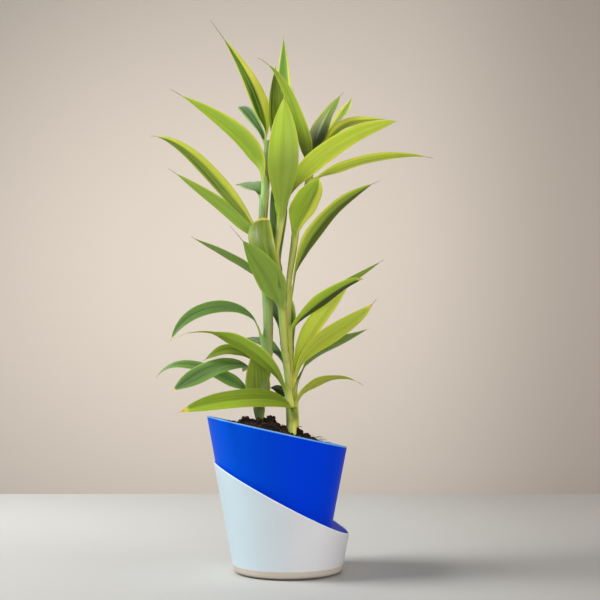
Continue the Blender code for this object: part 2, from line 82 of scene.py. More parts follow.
# A slanted rim: the shell's axis, its heights at the left and right, and how far its fall turns to the back
Rim = namedtuple("Rim", "centre_x left right turn")
CUP_RIM = Rim(0.0, CUP_RIM_LEFT, CUP_RIM_RIGHT, 0.0)
POT_RIM = Rim(POT_X, POT_RIM_LEFT, POT_RIM_RIGHT, POT_RIM_TURN)
POT_FEET_BASE = FLOOR + GAP
POT_BOTTOM = POT_FEET_BASE + POT_FOOT_HEIGHT
DRAIN_HOLE = 7 * MM
DRAIN_RING = 17 * MM
DRAIN_COUNT = 6
SHELL_STEPS = 192
SLIVER = 0.002 * MM
WALL_ROWS = 36
RIM_ROWS = 7
CUP_BEND_ROWS = 8
POT_EDGE_ROUND = 0.8 * MM
CUTTER_SIDES = 32
# The blocks that cut the notches of the foot ring: how far each is turned in degrees, and how far its middle
# lies under the pot's floor in foot heights. The two differ, so that no faces of theirs lie in one plane.
NOTCH_BLOCKS = ((45, 0.6), (135, 0.62))

# Soil heap, as the part has it
SOIL_BOTTOM = POT_BOTTOM + FLOOR + GAP
SOIL_FROM_WALL = 0.48 * MM
SOIL_BELOW_RIM = 5 * MM
SOIL_HEAP = 9 * MM
SOIL_HEAP_X = -18 * MM
SOIL_HEAP_WIDE = 32 * MM
SOIL_HEAP_DEEP = 32 * MM
# Mounds on the heap, in millimetres: where each is, how high and how wide
SOIL_MOUNDS = ((-37, 2, 3, 8), (-15.5, -1, 7, 6), (-1, -5, 5, 5), (12, -6, 6, 8), (-22, -30, 2, 9),
               (-30, 32, 3, 10), (18, 22, 3, 9), (20, -30, 2.5, 8), (-60, 8, -4, 12))
# Lumps of the soil: cell of the noise in millimetres, share of the relief, seed
SOIL_LUMPS = ((7, 1.6, 11), (3, 0.9, 12), (1.3, 0.5, 13))
LATTICE = 64
SOIL_RINGS = 70
SOIL_SIDE_ROWS = 11
SOIL_REACH_STEPS = 12
SOIL_FOOT_BEND = 1 * MM
SOIL_FOOT_INSET = 1.5 * MM
CRUMB_SEED = 5
CRUMB_SMALLEST = 0.55 * MM
CRUMB_LARGER_BY = 2.1 * MM
CRUMB_FROM_WALL = 2 * MM
CRUMB_STRETCH = (0.6, 1.15)
CRUMB_ROUGHNESS = 0.28
CRUMB_STANDS_OUT = 0.35
FIBRE_SEED = 8
FIBRE_FROM_WALL = 11 * MM
FIBRE_LENGTH = (5, 17)
FIBRE_RADIUS = (0.1, 0.26)
FIBRE_LIFT = (0.1, 1.1)
FIBRE_BEND = (-2.0, 2.0)
FIBRE_ROWS = 9
FIBRE_SUNK = -0.15

# Canes: points of the middle line in millimetres, the radius over the soil and at the top, how bluish each is
# and how much more so on its left, the share of its radius that it lacks at the soil, or has more there, and
# how much painted shade darkens its left side
Cane = namedtuple("Cane", "name line foot_radius top_radius cool turn slim shade")
CANES = (
    Cane("left_leafy_cane",
         ((-24, 8, 62), (-24, 8, 116), (-26, 8, 143), (-21, 9, 175), (-18.5, 10, 209), (-19, 10, 245),
          (-21, 10, 268), (-23.5, 11, 300), (-23, 12, 325), (-21, 13, 345), (-20, 14, 367), (-18, 15, 390)),
         5.2, 2.9, 0.8, 0.4, 0.5, 0.0),
    Cane("front_leafy_cane",
         ((3, -9, 62), (3, -9, 112), (2, -9, 140), (0, -10, 172), (-3, -10, 195), (-5, -10, 222),
          (-6, -10, 245), (-9, -10, 265), (-11, -10, 280), (-9, -10, 295), (-6, -10, 312), (-5, -10, 330)),
         2.9, 2.3, 0.15, 0.8, -0.3, 0.15),
    Cane("rear_leafy_cane",
         ((6.5, 6, 62), (6.5, 6, 112), (6, 6, 135), (4.5, 5, 158), (2.5, 5, 178), (0, 5, 215), (0, 5, 245),
          (1, 5, 262), (4, 5, 282), (7, 5, 303), (12.5, 5, 326), (17.5, 5, 345), (21, 5, 362),
          (22.5, 5, 374)),
         2.6, 2.3, 0.1, 0.4, -0.2, 0.6),
)
CANE_TAPERS_FROM = 130
SOIL_LINE = 118
CANE_ROWS = 260
CANE_COLUMNS = 28
CANE_TOP_ROUND = 12
CANE_SLOPE_SPAN = 4
RING_SCAR_WIDTH = 0.9
BARE_RING_OVER_SOIL = 7
# A cane's ribs: height as a share of its radius, how many, and where they start
CANE_RIBS = ((0.012, 7, 1.3), (0.008, 11, 0))
# Near the soil the cane is painted as if lit from the right: heights between which that ends, and how strong
# it is, and how much darker its left is painted
LOW_LIGHT_ENDS = (132, 150)
LOW_LIGHT_RIGHT = 0.35
LOW_SHADE_LEFT = 0.5

# How a leaf is coloured: `stripe` is how dark its middle stripes are, or below 0 how pale it is all over, and
# `light` its brightness, partly the leaf's own tone and partly painted light and shade. `warm` is 0 for a
# bluish and 1 for a yellowish green. `low` and `high` are the shares of the half on the two sides of its
# midrib that its pale margins take. `lean` moves the stripes to the low side, `half` paints shade on the high
# side, or on the low one where it is below 0, `base` is the brightness at its foot, painted shade below 1 and
# painted light above, which grows to full at `until`, and `dry` is how far its tip has dried. `clasp` is the
# painted brightness of its sheath.
Look = namedtuple("Look", "stripe light warm low high lean half base until dry clasp",
                  defaults=(0.3, 1.0, 0.5, 0, 0, 0, 0, 0.85, 0.36, 0.3, 1))

# A leaf leaves its cane at `height` and ends at `tip`. `rise` and `droop` are its slope in degrees there and
# at the tip, `width` its widest. `heading` is the compass angle it sets out in, None for straight to the tip,
# `roll` how far it is turned about its midrib, `grip` and `reach` how stiffly it keeps its slope at both
# ends. `stalk` is the narrow share at its base and `crest` where it is widest. `twist` turns its outer part
# further, `thread` is the share that its withered thread of a tip takes, `wave` is how much its margins
# ripple, and `blunt` marks one that ends round.
Leaf = namedtuple("Leaf", "height tip rise droop width heading roll grip reach stalk crest thread twist look "
                          "wave blunt",
                  defaults=(None, 0, 0.36, 0.36, 0.1, 0.45, 0.02, 0, Look(), 0.06, False))
LEAVES = {
    "left_leafy_cane": (
        Leaf(382, (-72, -5, 497), 85, 50, 19, heading=195, roll=-80, grip=0.3, reach=0.5, crest=0.38,
             thread=0.11, look=Look(0.9, 1.1, 0.45, 0.8, 0.1, lean=-0.35, base=0.95)),
        Leaf(385, (-50, 70, 437), 55, 0, 15, heading=140, roll=-15, grip=0.4, reach=0.12, crest=0.62,
             look=Look(1, 1, 0, 0.3, 0.35, dry=0)),
        Leaf(348, (-107, -15, 429), 80, 25, 19, roll=50, grip=0.34, reach=0.46, stalk=0, crest=0.34,
             thread=0.07, look=Look(0.12, 1.4, 0.7, 0, 0.2, base=0.9, clasp=1.4)),
        Leaf(334, (-53, 80, 362), 45, 15, 21, heading=125, roll=-20, reach=0.32, crest=0.42,
             look=Look(0.3, 0.85, 0.1, 0, 0.2)),
        Leaf(301, (-122, -25, 383), 40, -5, 17, roll=40, grip=0.26, reach=0.28, crest=0.42, thread=0.04,
             look=Look(1, 1.15, 0.7, 0.05, 0.7, lean=0.4, half=-0.25)),
        Leaf(287, (-112, 20, 364), 60, 35, 15, heading=185, roll=65, grip=0.26, reach=0.38, crest=0.36,
             thread=0.06, look=Look(0.25, 1.15, 0.4, 0, 0.15, base=0.7)),
        Leaf(262, (-30, 95, 326), 68, 20, 17, heading=95, look=Look(0.5, 0.9, 0.3, 0.1, 0.1)),
        Leaf(252, (-89, 8, 298), 50, 30, 12, roll=35, grip=0.4, reach=0.38, crest=0.34, thread=0.03,
             look=Look(0.3, 0.9, 0.1, 0, 0.15)),
        Leaf(198, (-100, -45, 199), 75, -70, 15, heading=205, roll=-50, grip=0.56, reach=0.38, crest=0.5,
             look=Look(0.6, 1.02, 0.1, base=1.15)),
        Leaf(177, (-75, -10, 184), 40, -35, 16, heading=190, roll=-40, grip=0.48, reach=0.5, crest=0.56,
             look=Look(0.3, 0.6, 0.9, dry=0, clasp=0.75)),
        Leaf(164, (-100, -35, 157), 60, -25, 24, heading=205, roll=-35, grip=0.48, reach=0.3, crest=0.6,
             look=Look(0.7, 0.8, 0.15, 0.05, 0, base=0.8, dry=0.4, clasp=0.75)),
        Leaf(160, (-46, 88, 176), 60, -10, 17, look=Look(0.5, 0.8, 0.2, 0.1, 0.1)),
        Leaf(151, (-120, 12, 169), 30, -55, 17, heading=175, roll=-40, grip=0.34, reach=0.38, crest=0.28,
             look=Look(0.6, 1, 0.15, base=0.8, dry=0)),
        Leaf(140, (-29, -8, 198), 70, 65, 24, heading=260, roll=20, grip=0.28, reach=0.34, crest=0.36,
             look=Look(0.45, 0.75, 0.9, 0.05, 0.05, base=0.8, clasp=0.75)),
    ),
    "front_leafy_cane": (
        Leaf(320, (4, 50, 450), 72, 80, 15, heading=70, look=Look(0.3, 1, 0.5, 0.1, 0.1)),
        Leaf(324, (-5, 30, 496), 85, 95, 18, grip=0.38, reach=0.3, crest=0.48,
             look=Look(0.35, 1.35, 0.25, 0.35, 0.3, dry=0)),
        Leaf(322, (-12, 6, 457), 82, 95, 18, heading=130, grip=0.4, reach=0.3, crest=0.62,
             look=Look(0.9, 0.65, 0.95, lean=-0.3, dry=0)),
        Leaf(307, (-4, -24, 420), 75, 100, 30, heading=275, roll=-15, grip=0.24, reach=0.32, stalk=0.08,
             crest=0.52, look=Look(0.06, 1.42, 0.85, base=0.6, until=0.75, dry=0)),
        Leaf(311, (97, -35, 394), 82, 5, 25, heading=355, roll=-30, grip=0.42, reach=0.18, crest=0.4,
             look=Look(-0.4, 1.3, 0.9, 0, 0.3, base=0.3, until=0.4, dry=0)),
        Leaf(300, (-2, 82, 380), 70, 40, 18, heading=85, look=Look(0.6, 0.9, 0.4, 0.1, 0.1)),
        Leaf(262, (-8, 30, 390), 84, 80, 17, heading=115, look=Look(1, 0.6, 0.1)),
        Leaf(244, (-23, 0, 315), 45, 145, 25, heading=245, grip=0.4, reach=0.4, crest=0.56,
             look=Look(0.6, 0.62, 0.85, 0, 0.1, lean=-0.1, base=0.8, dry=0.6), blunt=True),
        Leaf(226, (-50, -46, 299), 78, 40, 26, heading=250, roll=50, grip=0.28, reach=0.3, crest=0.34,
             thread=0.2, look=Look(0.12, 0.88, 0.35, base=1, dry=0)),
        Leaf(192, (-22, 85, 256), 70, 20, 18, heading=112, stalk=0.24, crest=0.55,
             look=Look(0.7, 0.5, 0, base=1.3, until=0.3)),
        Leaf(180, (-43, 62, 208), 25, 0, 15, heading=105, roll=-20, reach=0.42, stalk=0.28, crest=0.6,
             look=Look(0.5, 0.6, 0)),
        Leaf(153, (-92, -56, 202), 65, -35, 15, heading=215, roll=50, grip=0.42, reach=0.24, crest=0.34,
             twist=-50, look=Look(0.15, 0.95, 0.8, 0, 0.05, half=-0.2, dry=0.8, clasp=1.4)),
        Leaf(150, (-16, -9, 160), 50, -10, 9, roll=70, look=Look(0.2, 0.08, 0.9, dry=0)),
        Leaf(128, (-91, -62, 139), 62, -20, 22, heading=340, roll=-50, reach=0.32, crest=0.54,
             look=Look(0.2, 1.12, 0.85, half=-0.3, base=0.8, until=0.7, dry=0.7, clasp=1.4)),
    ),
    "rear_leafy_cane": (
        Leaf(367, (94, 15, 410), 55, 5, 16, roll=45, grip=0.58, reach=0.56, crest=0.56,
             look=Look(-0.3, 1.25, 0.95, 0.1, 0.75, half=-0.3, base=1, dry=0)),
        Leaf(367, (60, 40, 438), 60, 65, 18, heading=30, grip=0.5, reach=0.22, crest=0.62,
             look=Look(0.6, 0.95, 0.95, 0.25, 0.6, lean=0.3, dry=0)),
        Leaf(366, (51, 14, 435), 80, 50, 27, heading=25, roll=24, grip=0.34, reach=0.34, crest=0.4,
             thread=0.06, look=Look(0.45, 0.85, 0.95, 0, 0.15, half=-0.3, base=0.25, until=0.6)),
        Leaf(359, (-28, -17, 457), 70, 10, 17, heading=235, roll=20, grip=0.22, reach=0.28, crest=0.28,
             thread=0.12, look=Look(0.4, 1.1, 0.85, 0.1, 0.1, lean=0.3, base=0.3, until=0.45)),
        Leaf(347, (131, -8, 367), 30, -15, 14, heading=350, roll=-30, grip=0.28, reach=0.34, crest=0.32,
             thread=0.05, look=Look(-0.3, 1.15, 1, 0.45, 0.45)),
        Leaf(300, (20, 88, 348), 70, 25, 18, heading=75, look=Look(0.6, 0.9, 0.4, 0.1, 0.1)),
        Leaf(294, (27, -30, 345), 85, 60, 29, heading=270, roll=-5, grip=0.34, reach=0.24, crest=0.5,
             look=Look(0.7, 1.15, 0.8, 0, 0.45, lean=-0.3, dry=0)),
        Leaf(240, (85, 22, 353), 80, 25, 22, roll=-45, grip=0.4, reach=0.34, crest=0.42, thread=0.05,
             look=Look(0.6, 1.05, 0.85, 0.3, 0.05, half=0.7)),
        Leaf(213, (88, 25, 279), 42, 35, 15, heading=20, roll=-35, grip=0.4, reach=0.34, crest=0.4,
             thread=0.03, look=Look(0.3, 0.9, 0.4, 0, 0.1)),
        Leaf(211, (66, -34, 254), 45, -10, 18, heading=320, roll=-20, grip=0.26, reach=0.18, crest=0.48,
             look=Look(0.3, 1.35, 0.85, half=0.88, base=0.75, dry=0.9)),
        Leaf(190, (-4, 90, 256), 70, 15, 12, heading=80, look=Look(0.6, 0.8, 0.4, 0.1, 0.1)),
        Leaf(167, (57, 10, 258), 85, 50, 21, heading=360, roll=-55, grip=0.34, reach=0.28, crest=0.48,
             look=Look(-0.5, 1.25, 0.85, 0, 0.3, dry=0)),
        Leaf(166, (77, -32, 237), 75, 50, 19, heading=335, roll=-45, reach=0.32, crest=0.52, thread=0.05,
             look=Look(-0.5, 1.05, 0.9, 0.05, 0.3, dry=0.9, clasp=1.4)),
        Leaf(161, (75, 30, 216), 65, 30, 17, heading=25, roll=-40, grip=0.48, reach=0.38, crest=0.42,
             look=Look(0.2, 0.8, 0.1)),
        Leaf(148, (65, -30, 162), 45, -35, 14, heading=320, roll=-20, grip=0.34, reach=0.38, crest=0.42,
             thread=0.08, look=Look(-0.8, 1.05, 1, 0.1, 0.3, dry=0.8)),
    ),
}
LEAF_TURN_SHARE = 0.35
LEAF_UPRIGHT_RUN = 12
LEAF_STALK_WIDTH = 6.0
LEAF_STALK_MOST = 0.5
LEAF_STALK_BLEND = 0.05
LEAF_POINT_START = 2.1
LEAF_POINT_END = 1.0
LEAF_THREAD_WIDTH = 0.6
SHEATH_ROWS = 20
SHEATH_CLASP = 1.9
LEAF_TWIST_FROM = 0.5
LEAF_TWIST_TO = 0.7
SHEATH_HALF_TURN = 2.95
SHEATH_OPENS_FROM = -0.45
SHEATH_STANDS_OFF = 0.12
SHEATH_SCALE = 150
SHEATH_LENGTHS = (7, 34)
SHEATH_GAP = 3
SHEATH_LONE = 30
SHEATH_SAME_SIDE = 60
LEAF_ROW_CROWDING = 0.35
# Shares of a blade over which it comes off its cane, rolls, narrows from its sheath, flattens and gets a keel
LEAF_LEAVES_OVER = 0.22
LEAF_ROLLS_OVER = 0.3
LEAF_NARROWS_OVER = 0.09
LEAF_FLATTENS_OVER = 0.2
LEAF_KEEL_OVER = 0.16
LEAF_NARROWED = 0.06
KEEL_ROUND = 0.006
KEEL_ROUND_ROOT = 0.077
MIDRIB_HEIGHT = 0.22
MIDRIB_WIDTH = 0.7
RIPPLE_WAVES = (1.6, 2.6)
RIPPLE_SEED = 100
# How much thinner a blade is at its edge and its tip, and a sheath at its foot
EDGE_THINS = 0.72
TIP_THINS = 0.55
SHEATH_FOOT_THINS = 0.8
SMOOTHING = np.array([1, 4, 6, 4, 1]) / 16
SMOOTHING_PASSES = 6
SMOOTHING_SPREAD = 0.06
# Texture coordinates run in units of this many millimetres
STREAK_UNIT = 100

# Camera: metres from the origin, its lens and how far it looks up, in degrees
CAMERA_AT = (0.0105, -0.8960, 0.1543)
CAMERA_LENS = 60
CAMERA_SENSOR = 36
CAMERA_PITCH = 5.4

# Stage, in metres
TABLE_LOW = (-3.0, -3.0, -0.03)
TABLE_HIGH = (3.0, 0.683, 0)
WALL_LOW = (-4, 2.2, -1.5)
WALL_HIGH = (4, 2.25, 3)
# Soft lights, whose watts are in the stage's settings: where each is, what it faces, its size and its colour
LIGHTS = (
    ("Key", (-1.18, -0.08, 1.2), (0, 0, 0.2), (0.7, 0.7), (1.0, 0.98, 0.95)),
    ("Front", (0.1, -2.1, 0.55), (0, 0, 0.25), (1.4, 0.9), (1.0, 0.98, 0.96)),
    ("Side", (1.6, -0.7, 0.4), (0, 0, 0.2), (0.8, 0.8), (1.0, 0.95, 0.92)),
    ("Back", (-0.4, 1.0, 1.3), (0, 0, 0.35), (0.6, 0.6), (0.88, 0.94, 1.0)),
    ("Glow", (-0.3, 0.8, 0.5), (-0.3, 2.2, 0.72), (1.4, 0.8), (1.0, 0.97, 0.93)),
)
SKY_COLOUR = (0.95, 0.97, 1.0, 1.0)


def length_prop(name, description, default):
    return bpy.props.FloatProperty(name=name, description=description, default=default, min=0, unit="LENGTH",
                                   precision=5)


def share_prop(name, description, default):
    return bpy.props.FloatProperty(name=name, description=description, default=default, min=0, max=1,
                                   subtype="FACTOR")


def colour_prop(name, description, default):
    return bpy.props.FloatVectorProperty(name=name, description=description, default=default, min=0, max=1,
                                         subtype="COLOR")


def watts_prop(name, place, default):
    return bpy.props.FloatProperty(name=name, description="Watts of the light " + place, default=default,
                                   min=0)


class PlanterSettings(bpy.types.PropertyGroup):
    wall: length_prop("Wall", "Thickness of the cup's and the pot's wall", 1.2 * MM)
    cup_colour: colour_prop("Cup colour", "Colour of the outer cup", (0.72, 0.72, 0.74))
    # Painted light: the blue of the pot shining through the cup's thin wall, painted into the cup's left side
    cup_painted_pot_blue: colour_prop("Backed cup colour", "The cup's colour where the pot stands behind its thin wall",
                            (0.57, 0.72, 0.81))
    # Painted highlight: a pale line along the cup's thin rim
    cup_rim_highlight: colour_prop("Cup rim", "Colour of the cup's thin rim", (0.80, 0.89, 0.95))
    # Painted reflection: the pot's blue thrown onto the cup's inner wall
    cup_inside_reflection: colour_prop("Cup inside", "Colour of the cup's inner wall, which takes on the pot's blue",
                            (0.36, 0.40, 1.0))
    # Painted shade and the table's warm reflection on the cup's rounded foot
    cup_foot_shade: colour_prop("Cup foot", "Colour of the cup's rounded foot", (0.56, 0.50, 0.43))
    cup_roughness: share_prop("Cup roughness", "Roughness of the outer cup", 0.38)
    pot_colour: colour_prop("Pot colour", "Colour of the inner pot", (0.0, 0.085, 0.72))
    # Painted shade: the pot's blue turns purer towards its low right side, and the same colour paints shade
    # inside it and on its foot
    pot_shaded: colour_prop("Deep pot colour", "The pot's colour towards its low side", (0.0, 0.045, 0.72))
    # Painted highlight: a pale line along the pot's thin rim
    pot_rim: colour_prop("Pot rim", "Colour of the pot's thin rim", (0.17, 0.46, 0.88))
    pot_roughness: share_prop("Pot roughness", "Roughness of the inner pot", 0.36)


class SoilSettings(bpy.types.PropertyGroup):
    relief: length_prop("Relief", "Height of the soil's fine lumps", 2.0 * MM)
    crumbs: bpy.props.IntProperty(name="Crumbs", description="Number of loose crumbs", default=1300, min=0)
    fibres: bpy.props.IntProperty(name="Fibres", description="Number of coir fibres", default=240, min=0)
    dark: colour_prop("Dark", "Colour of the moist soil", (0.010, 0.006, 0.005))
    brown: colour_prop("Brown", "Colour of the drier crumbs", (0.065, 0.023, 0.014))
    fibre: colour_prop("Fibre", "Colour of the coir fibres", (0.30, 0.16, 0.11))


class LeafSettings(bpy.types.PropertyGroup):
    thickness: length_prop("Thickness", "Thickness of a blade at its midrib", 0.55 * MM)
    sheath: length_prop("Sheath", "How far a sheath stands off its cane where the blade leaves it", 0.7 * MM)
    keel: share_prop("Keel", "How steeply a blade folds along its midrib", 0.24)
    arch: share_prop("Arch", "How much each half of a blade curls down again", 0.10)
    green: colour_prop("Green", "Colour of a yellowish blade between its stripes", (0.34, 0.46, 0.03))
    cool: colour_prop("Cool green", "Colour of a bluish blade between its stripes", (0.15, 0.29, 0.07))
    stripe: colour_prop("Stripe", "Colour of the dark stripes", (0.035, 0.085, 0.007))
    # Painted sheen: a bluish blade's stripes are grey-blue, their own dark colour mixed with a painted sheen
    cool_stripe_sheen: colour_prop("Cool stripe", "Colour of a bluish blade's stripes", (0.075, 0.14, 0.09))
    margin: colour_prop("Margin", "Colour of the yellow margins", (0.66, 0.66, 0.09))
    cool_margin: colour_prop("Cool margin", "Colour of a bluish blade's margins", (0.36, 0.55, 0.22))
    under: colour_prop("Underside", "Colour of the lower face", (0.38, 0.50, 0.04))
    sheath_colour: colour_prop("Sheath", "Colour of the sheaths round a cane's warm side", (0.56, 0.58, 0.11))
    cool_sheath: colour_prop("Cool sheath", "Colour of the sheaths round its cool side", (0.26, 0.42, 0.15))
    dry: colour_prop("Dry", "Colour of dried tips", (0.70, 0.40, 0.06))
    thread: colour_prop("Thread", "Colour of withered threads", (0.20, 0.15, 0.09))
    rows: bpy.props.IntProperty(name="Rows", description="Rows of faces along a blade", default=72, min=8)
    columns: bpy.props.IntProperty(name="Columns", description="Points across a blade", default=17, min=5)


class CaneSettings(bpy.types.PropertyGroup):
    ring: length_prop("Ring", "Height of the ring scars", 0.25 * MM)
    green: colour_prop("Green", "Colour of a yellowish cane", (0.60, 0.60, 0.12))
    cool: colour_prop("Cool green", "Colour of a bluish cane", (0.30, 0.44, 0.15))
    shade: colour_prop("Shade", "Colour of a cane's darker streaks", (0.17, 0.25, 0.04))
    foot: colour_prop("Foot", "Colour near the soil", (0.42, 0.38, 0.08))
    scar: colour_prop("Scar", "Colour of the ring scars", (0.30, 0.24, 0.09))


class StageSettings(bpy.types.PropertyGroup):
    table: colour_prop("Table", "Colour of the table", (0.72, 0.73, 0.71))
    # Painted shade: the table darkens towards the right
    table_shaded: colour_prop("Table, dark side", "Colour of the table at the right", (0.60, 0.58, 0.55))
    # Painted light and shade: the backdrop is lighter at the left and darker at the right
    wall_light: colour_prop("Wall, light side", "Colour of the backdrop at the left", (0.80, 0.72, 0.64))
    wall_shaded: colour_prop("Wall, dark side", "Colour of the backdrop at the right", (0.66, 0.58, 0.51))
    key: watts_prop("Key light", "at the left", 28)
    front: watts_prop("Front light", "behind the camera", 19)
    side: watts_prop("Side light", "at the right", 9)
    back: watts_prop("Back light", "behind the plant", 1)
    glow: watts_prop("Backdrop glow", "on the backdrop", 12)
    sky: bpy.props.FloatProperty(name="Sky", description="Strength of the even light", default=0.1, min=0)


# Shapes

def ease(low, high, t):
    """Smooth step: 0 before low, 1 after high, and 3x^2 - 2x^3 of the share between."""
    x = np.clip((t - low) / (high - low), 0, 1)
    return x * x * (3 - 2 * x)


def unit(vectors):
    """Each vector divided by its length."""
    return vectors / np.linalg.norm(vectors, axis=-1, keepdims=True)


def square(vectors, axis):
    """Each vector less its part along a unit axis, made of length 1."""
    return unit(vectors - (vectors * axis).sum(axis=-1, keepdims=True) * axis)


def grid_quads(rows, columns, ring):
    """Corners of the quads between neighbouring points of a grid, whose columns close to a ring if asked."""
    across = columns if ring else columns - 1
    r, c = np.meshgrid(np.arange(rows - 1), np.arange(across), indexing="ij")
    after = (c + 1) % columns
    return np.stack([r * columns + c, r * columns + after, (r + 1) * columns + after, (r + 1) * columns + c],
                    axis=-1).reshape(-1, 4)


def closed_faces(rows, columns):
    """Quads of a stack of rings and a fan of triangles to a pole at each end. The two poles' points come
    after those of the rings."""
    k = np.arange(columns)
    after = (k + 1) % columns
    last = (rows - 1) * columns
    pole = np.full_like(k, rows * columns)
    return np.concatenate([grid_quads(rows, columns, True), np.stack([after, k, pole, pole], axis=-1),
                           np.stack([last + k, last + after, pole + 1, pole + 1], axis=-1)])


def volume(points, quads):
    """Signed volume: a sixth of the sum of the corner triples of both halves of each face."""
    a, b, c, d = (points[quads[:, k]] for k in range(4))
    return (np.cross(a, b) * c).sum() / 6 + (np.cross(a, c) * d).sum() / 6


def add_attributes(mesh, attributes):
    """Puts arrays of one or three numbers a point in a mesh."""
    for label, values in attributes.items():
        kind, field = ("FLOAT_VECTOR", "vector") if np.ndim(values) == 2 else ("FLOAT", "value")
        made = mesh.attributes.new(label, kind, "POINT")
        made.data.foreach_set(field, np.asarray(values, np.float32).ravel())


def make_mesh(name, points, faces, uv=None, attributes=None):
    """A mesh from arrays of points and faces, each face a row of 4 corners with its last one twice if it is a
    triangle. Faces are turned over where the signed volume is negative. Attributes are arrays a point."""
    points = np.asarray(points, np.float64).reshape(-1, 3)
    faces = np.asarray(faces, np.int64)
    if volume(points, faces) < 0:
        faces = faces[:, ::-1]
        faces = np.where((faces[:, :1] == faces[:, 1:2]), np.roll(faces, -2, axis=1), faces)
    sizes = np.where(faces[:, 2] == faces[:, 3], 3, 4)
    corners = faces[np.arange(4)[None, :] < sizes[:, None]]
    mesh = bpy.data.meshes.new(name)
    mesh.vertices.add(len(points))
    mesh.vertices.foreach_set("co", points.astype(np.float32).ravel())
    mesh.loops.add(len(corners))
    mesh.loops.foreach_set("vertex_index", corners.astype(np.int32))
    mesh.polygons.add(len(faces))
    mesh.polygons.foreach_set("loop_start", (np.cumsum(sizes) - sizes).astype(np.int32))
    mesh.update(calc_edges=True)
    if uv is not None:
        layer = mesh.uv_layers.new(name="Surface")
        layer.uv.foreach_set("vector", np.asarray(uv, np.float32).reshape(-1, 2)[corners].ravel())
    add_attributes(mesh, attributes or {})
    mesh.shade_smooth()
    return mesh


def link(obj, material=None):
    """Puts an object in the scene, with a material if it has one."""
    bpy.context.scene.collection.objects.link(obj)
    if material:
        obj.data.materials.append(material)
    return obj


def add_piece(name, mesh, material, slot, *nodes):
    """Puts a mesh in the scene as a piece on the part's body, and hides the nodes that it stands for."""
    obj = link(bpy.data.objects.new(name, mesh), material)
    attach(obj, BODY)
    if nodes:
        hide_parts(*nodes)
    return obj


def through(points, count):
    """Catmull-Rom curve through the points, read at even steps: half of 2b + (c-a)t + (2a-5b+4c-d)t^2 +
    (3b-a-3c+d)t^3 between b and c."""
    line = np.array(points, float)
    line = np.vstack([2 * line[0] - line[1], line, 2 * line[-1] - line[-2]])
    place = np.linspace(0, len(points) - 1, count)
    i = np.minimum(place.astype(int), len(points) - 2)
    t = (place - i)[:, None]
    a, b, c, d = (line[i + k] for k in range(4))
    return 0.5 * (2 * b + (c - a) * t + (2 * a - 5 * b + 4 * c - d) * t ** 2
                  + (3 * b - a - 3 * c + d) * t ** 3)


def lattice_noise(x, y, cell, seed):
    """Value noise from 0 to 1: random numbers on a square lattice, blended by smooth steps between them."""
    table = np.random.default_rng(seed).random((LATTICE, LATTICE))
    u, v = x / cell, y / cell
    i, j = np.floor(u).astype(int), np.floor(v).astype(int)
    a, b = ease(0, 1, u - i), ease(0, 1, v - j)
    near, far = (table[i % LATTICE, row % LATTICE] * (1 - a) + table[(i + 1) % LATTICE, row % LATTICE] * a
                 for row in (j, j + 1))
    return near * (1 - b) + far * b


# Materials

class Tree:
    """A node tree with short ways to add nodes. Inputs are sockets to link or plain values, and a plain
    colour is three numbers."""

    def __init__(self, tree):
        self.tree = tree

    def put(self, node, inputs):
        """Links or sets a node's inputs."""
        for key, value in inputs.items():
            socket = node.inputs[key]
            if isinstance(value, bpy.types.NodeSocket):
                self.tree.links.new(value, socket)
            else:
                socket.default_value = (*value, 1.0) if socket.type == "RGBA" else value

    def add(self, kind, inputs=None, **settings):
        node = self.tree.nodes.new(kind)
        node.location = (180 * (len(self.tree.nodes) % 12), -180 * (len(self.tree.nodes) // 12))
        for key, value in settings.items():
            setattr(node, key, value)
        self.put(node, inputs or {})
        return node

    def math(self, operation, *values):
        return self.add("ShaderNodeMath", dict(enumerate(values)), operation=operation).outputs[0]

    def times(self, first, second):
        return self.math("MULTIPLY", first, second)

    def plus(self, first, second):
        return self.math("ADD", first, second)

    def swing(self, noise, width):
        """A noise round 0, of that width."""
        return self.times(self.math("SUBTRACT", noise, 0.5), width)

    def step(self, value, low, high, out_low=0.0, out_high=1.0):
        """Smooth step of a value from low to high."""
        return self.add("ShaderNodeMapRange", {0: value, 1: low, 2: high, 3: out_low, 4: out_high},
                        interpolation_type="SMOOTHSTEP").outputs[0]

    def mix(self, factor, first, second):
        """Mix of two colours."""
        return self.add("ShaderNodeMix", {0: factor, 6: first, 7: second}, data_type="RGBA").outputs[2]

    def scale(self, colour, factor):
        """A colour times a value."""
        return self.add("ShaderNodeVectorMath", {0: colour, "Scale": factor}, operation="SCALE").outputs[0]

    def noise(self, vector, scale, detail=2.0, roughness=0.5):
        return self.add("ShaderNodeTexNoise", {"Vector": vector, "Scale": scale, "Detail": detail,
                                               "Roughness": roughness}).outputs[0]

    def bump(self, height, strength, distance):
        return self.add("ShaderNodeBump", {"Height": height, "Strength": strength,
                                           "Distance": distance}).outputs[0]

    def place(self):
        """Object coordinates."""
        return self.add("ShaderNodeTexCoord").outputs["Object"]

    def surface(self):
        """The piece's own UV map."""
        return self.add("ShaderNodeUVMap", uv_map="Surface").outputs[0]

    def split(self, vector):
        return self.add("ShaderNodeSeparateXYZ", {0: vector}).outputs

    def number(self, name):
        """A piece's own attribute of one number a point."""
        return self.add("ShaderNodeAttribute", attribute_name=name).outputs["Fac"]

    def numbers(self, name):
        """A piece's own attribute of three numbers a point."""
        return self.split(self.add("ShaderNodeAttribute", attribute_name=name).outputs["Vector"])

    def group(self, group, inputs):
        return self.add("ShaderNodeGroup", inputs, node_tree=group).outputs


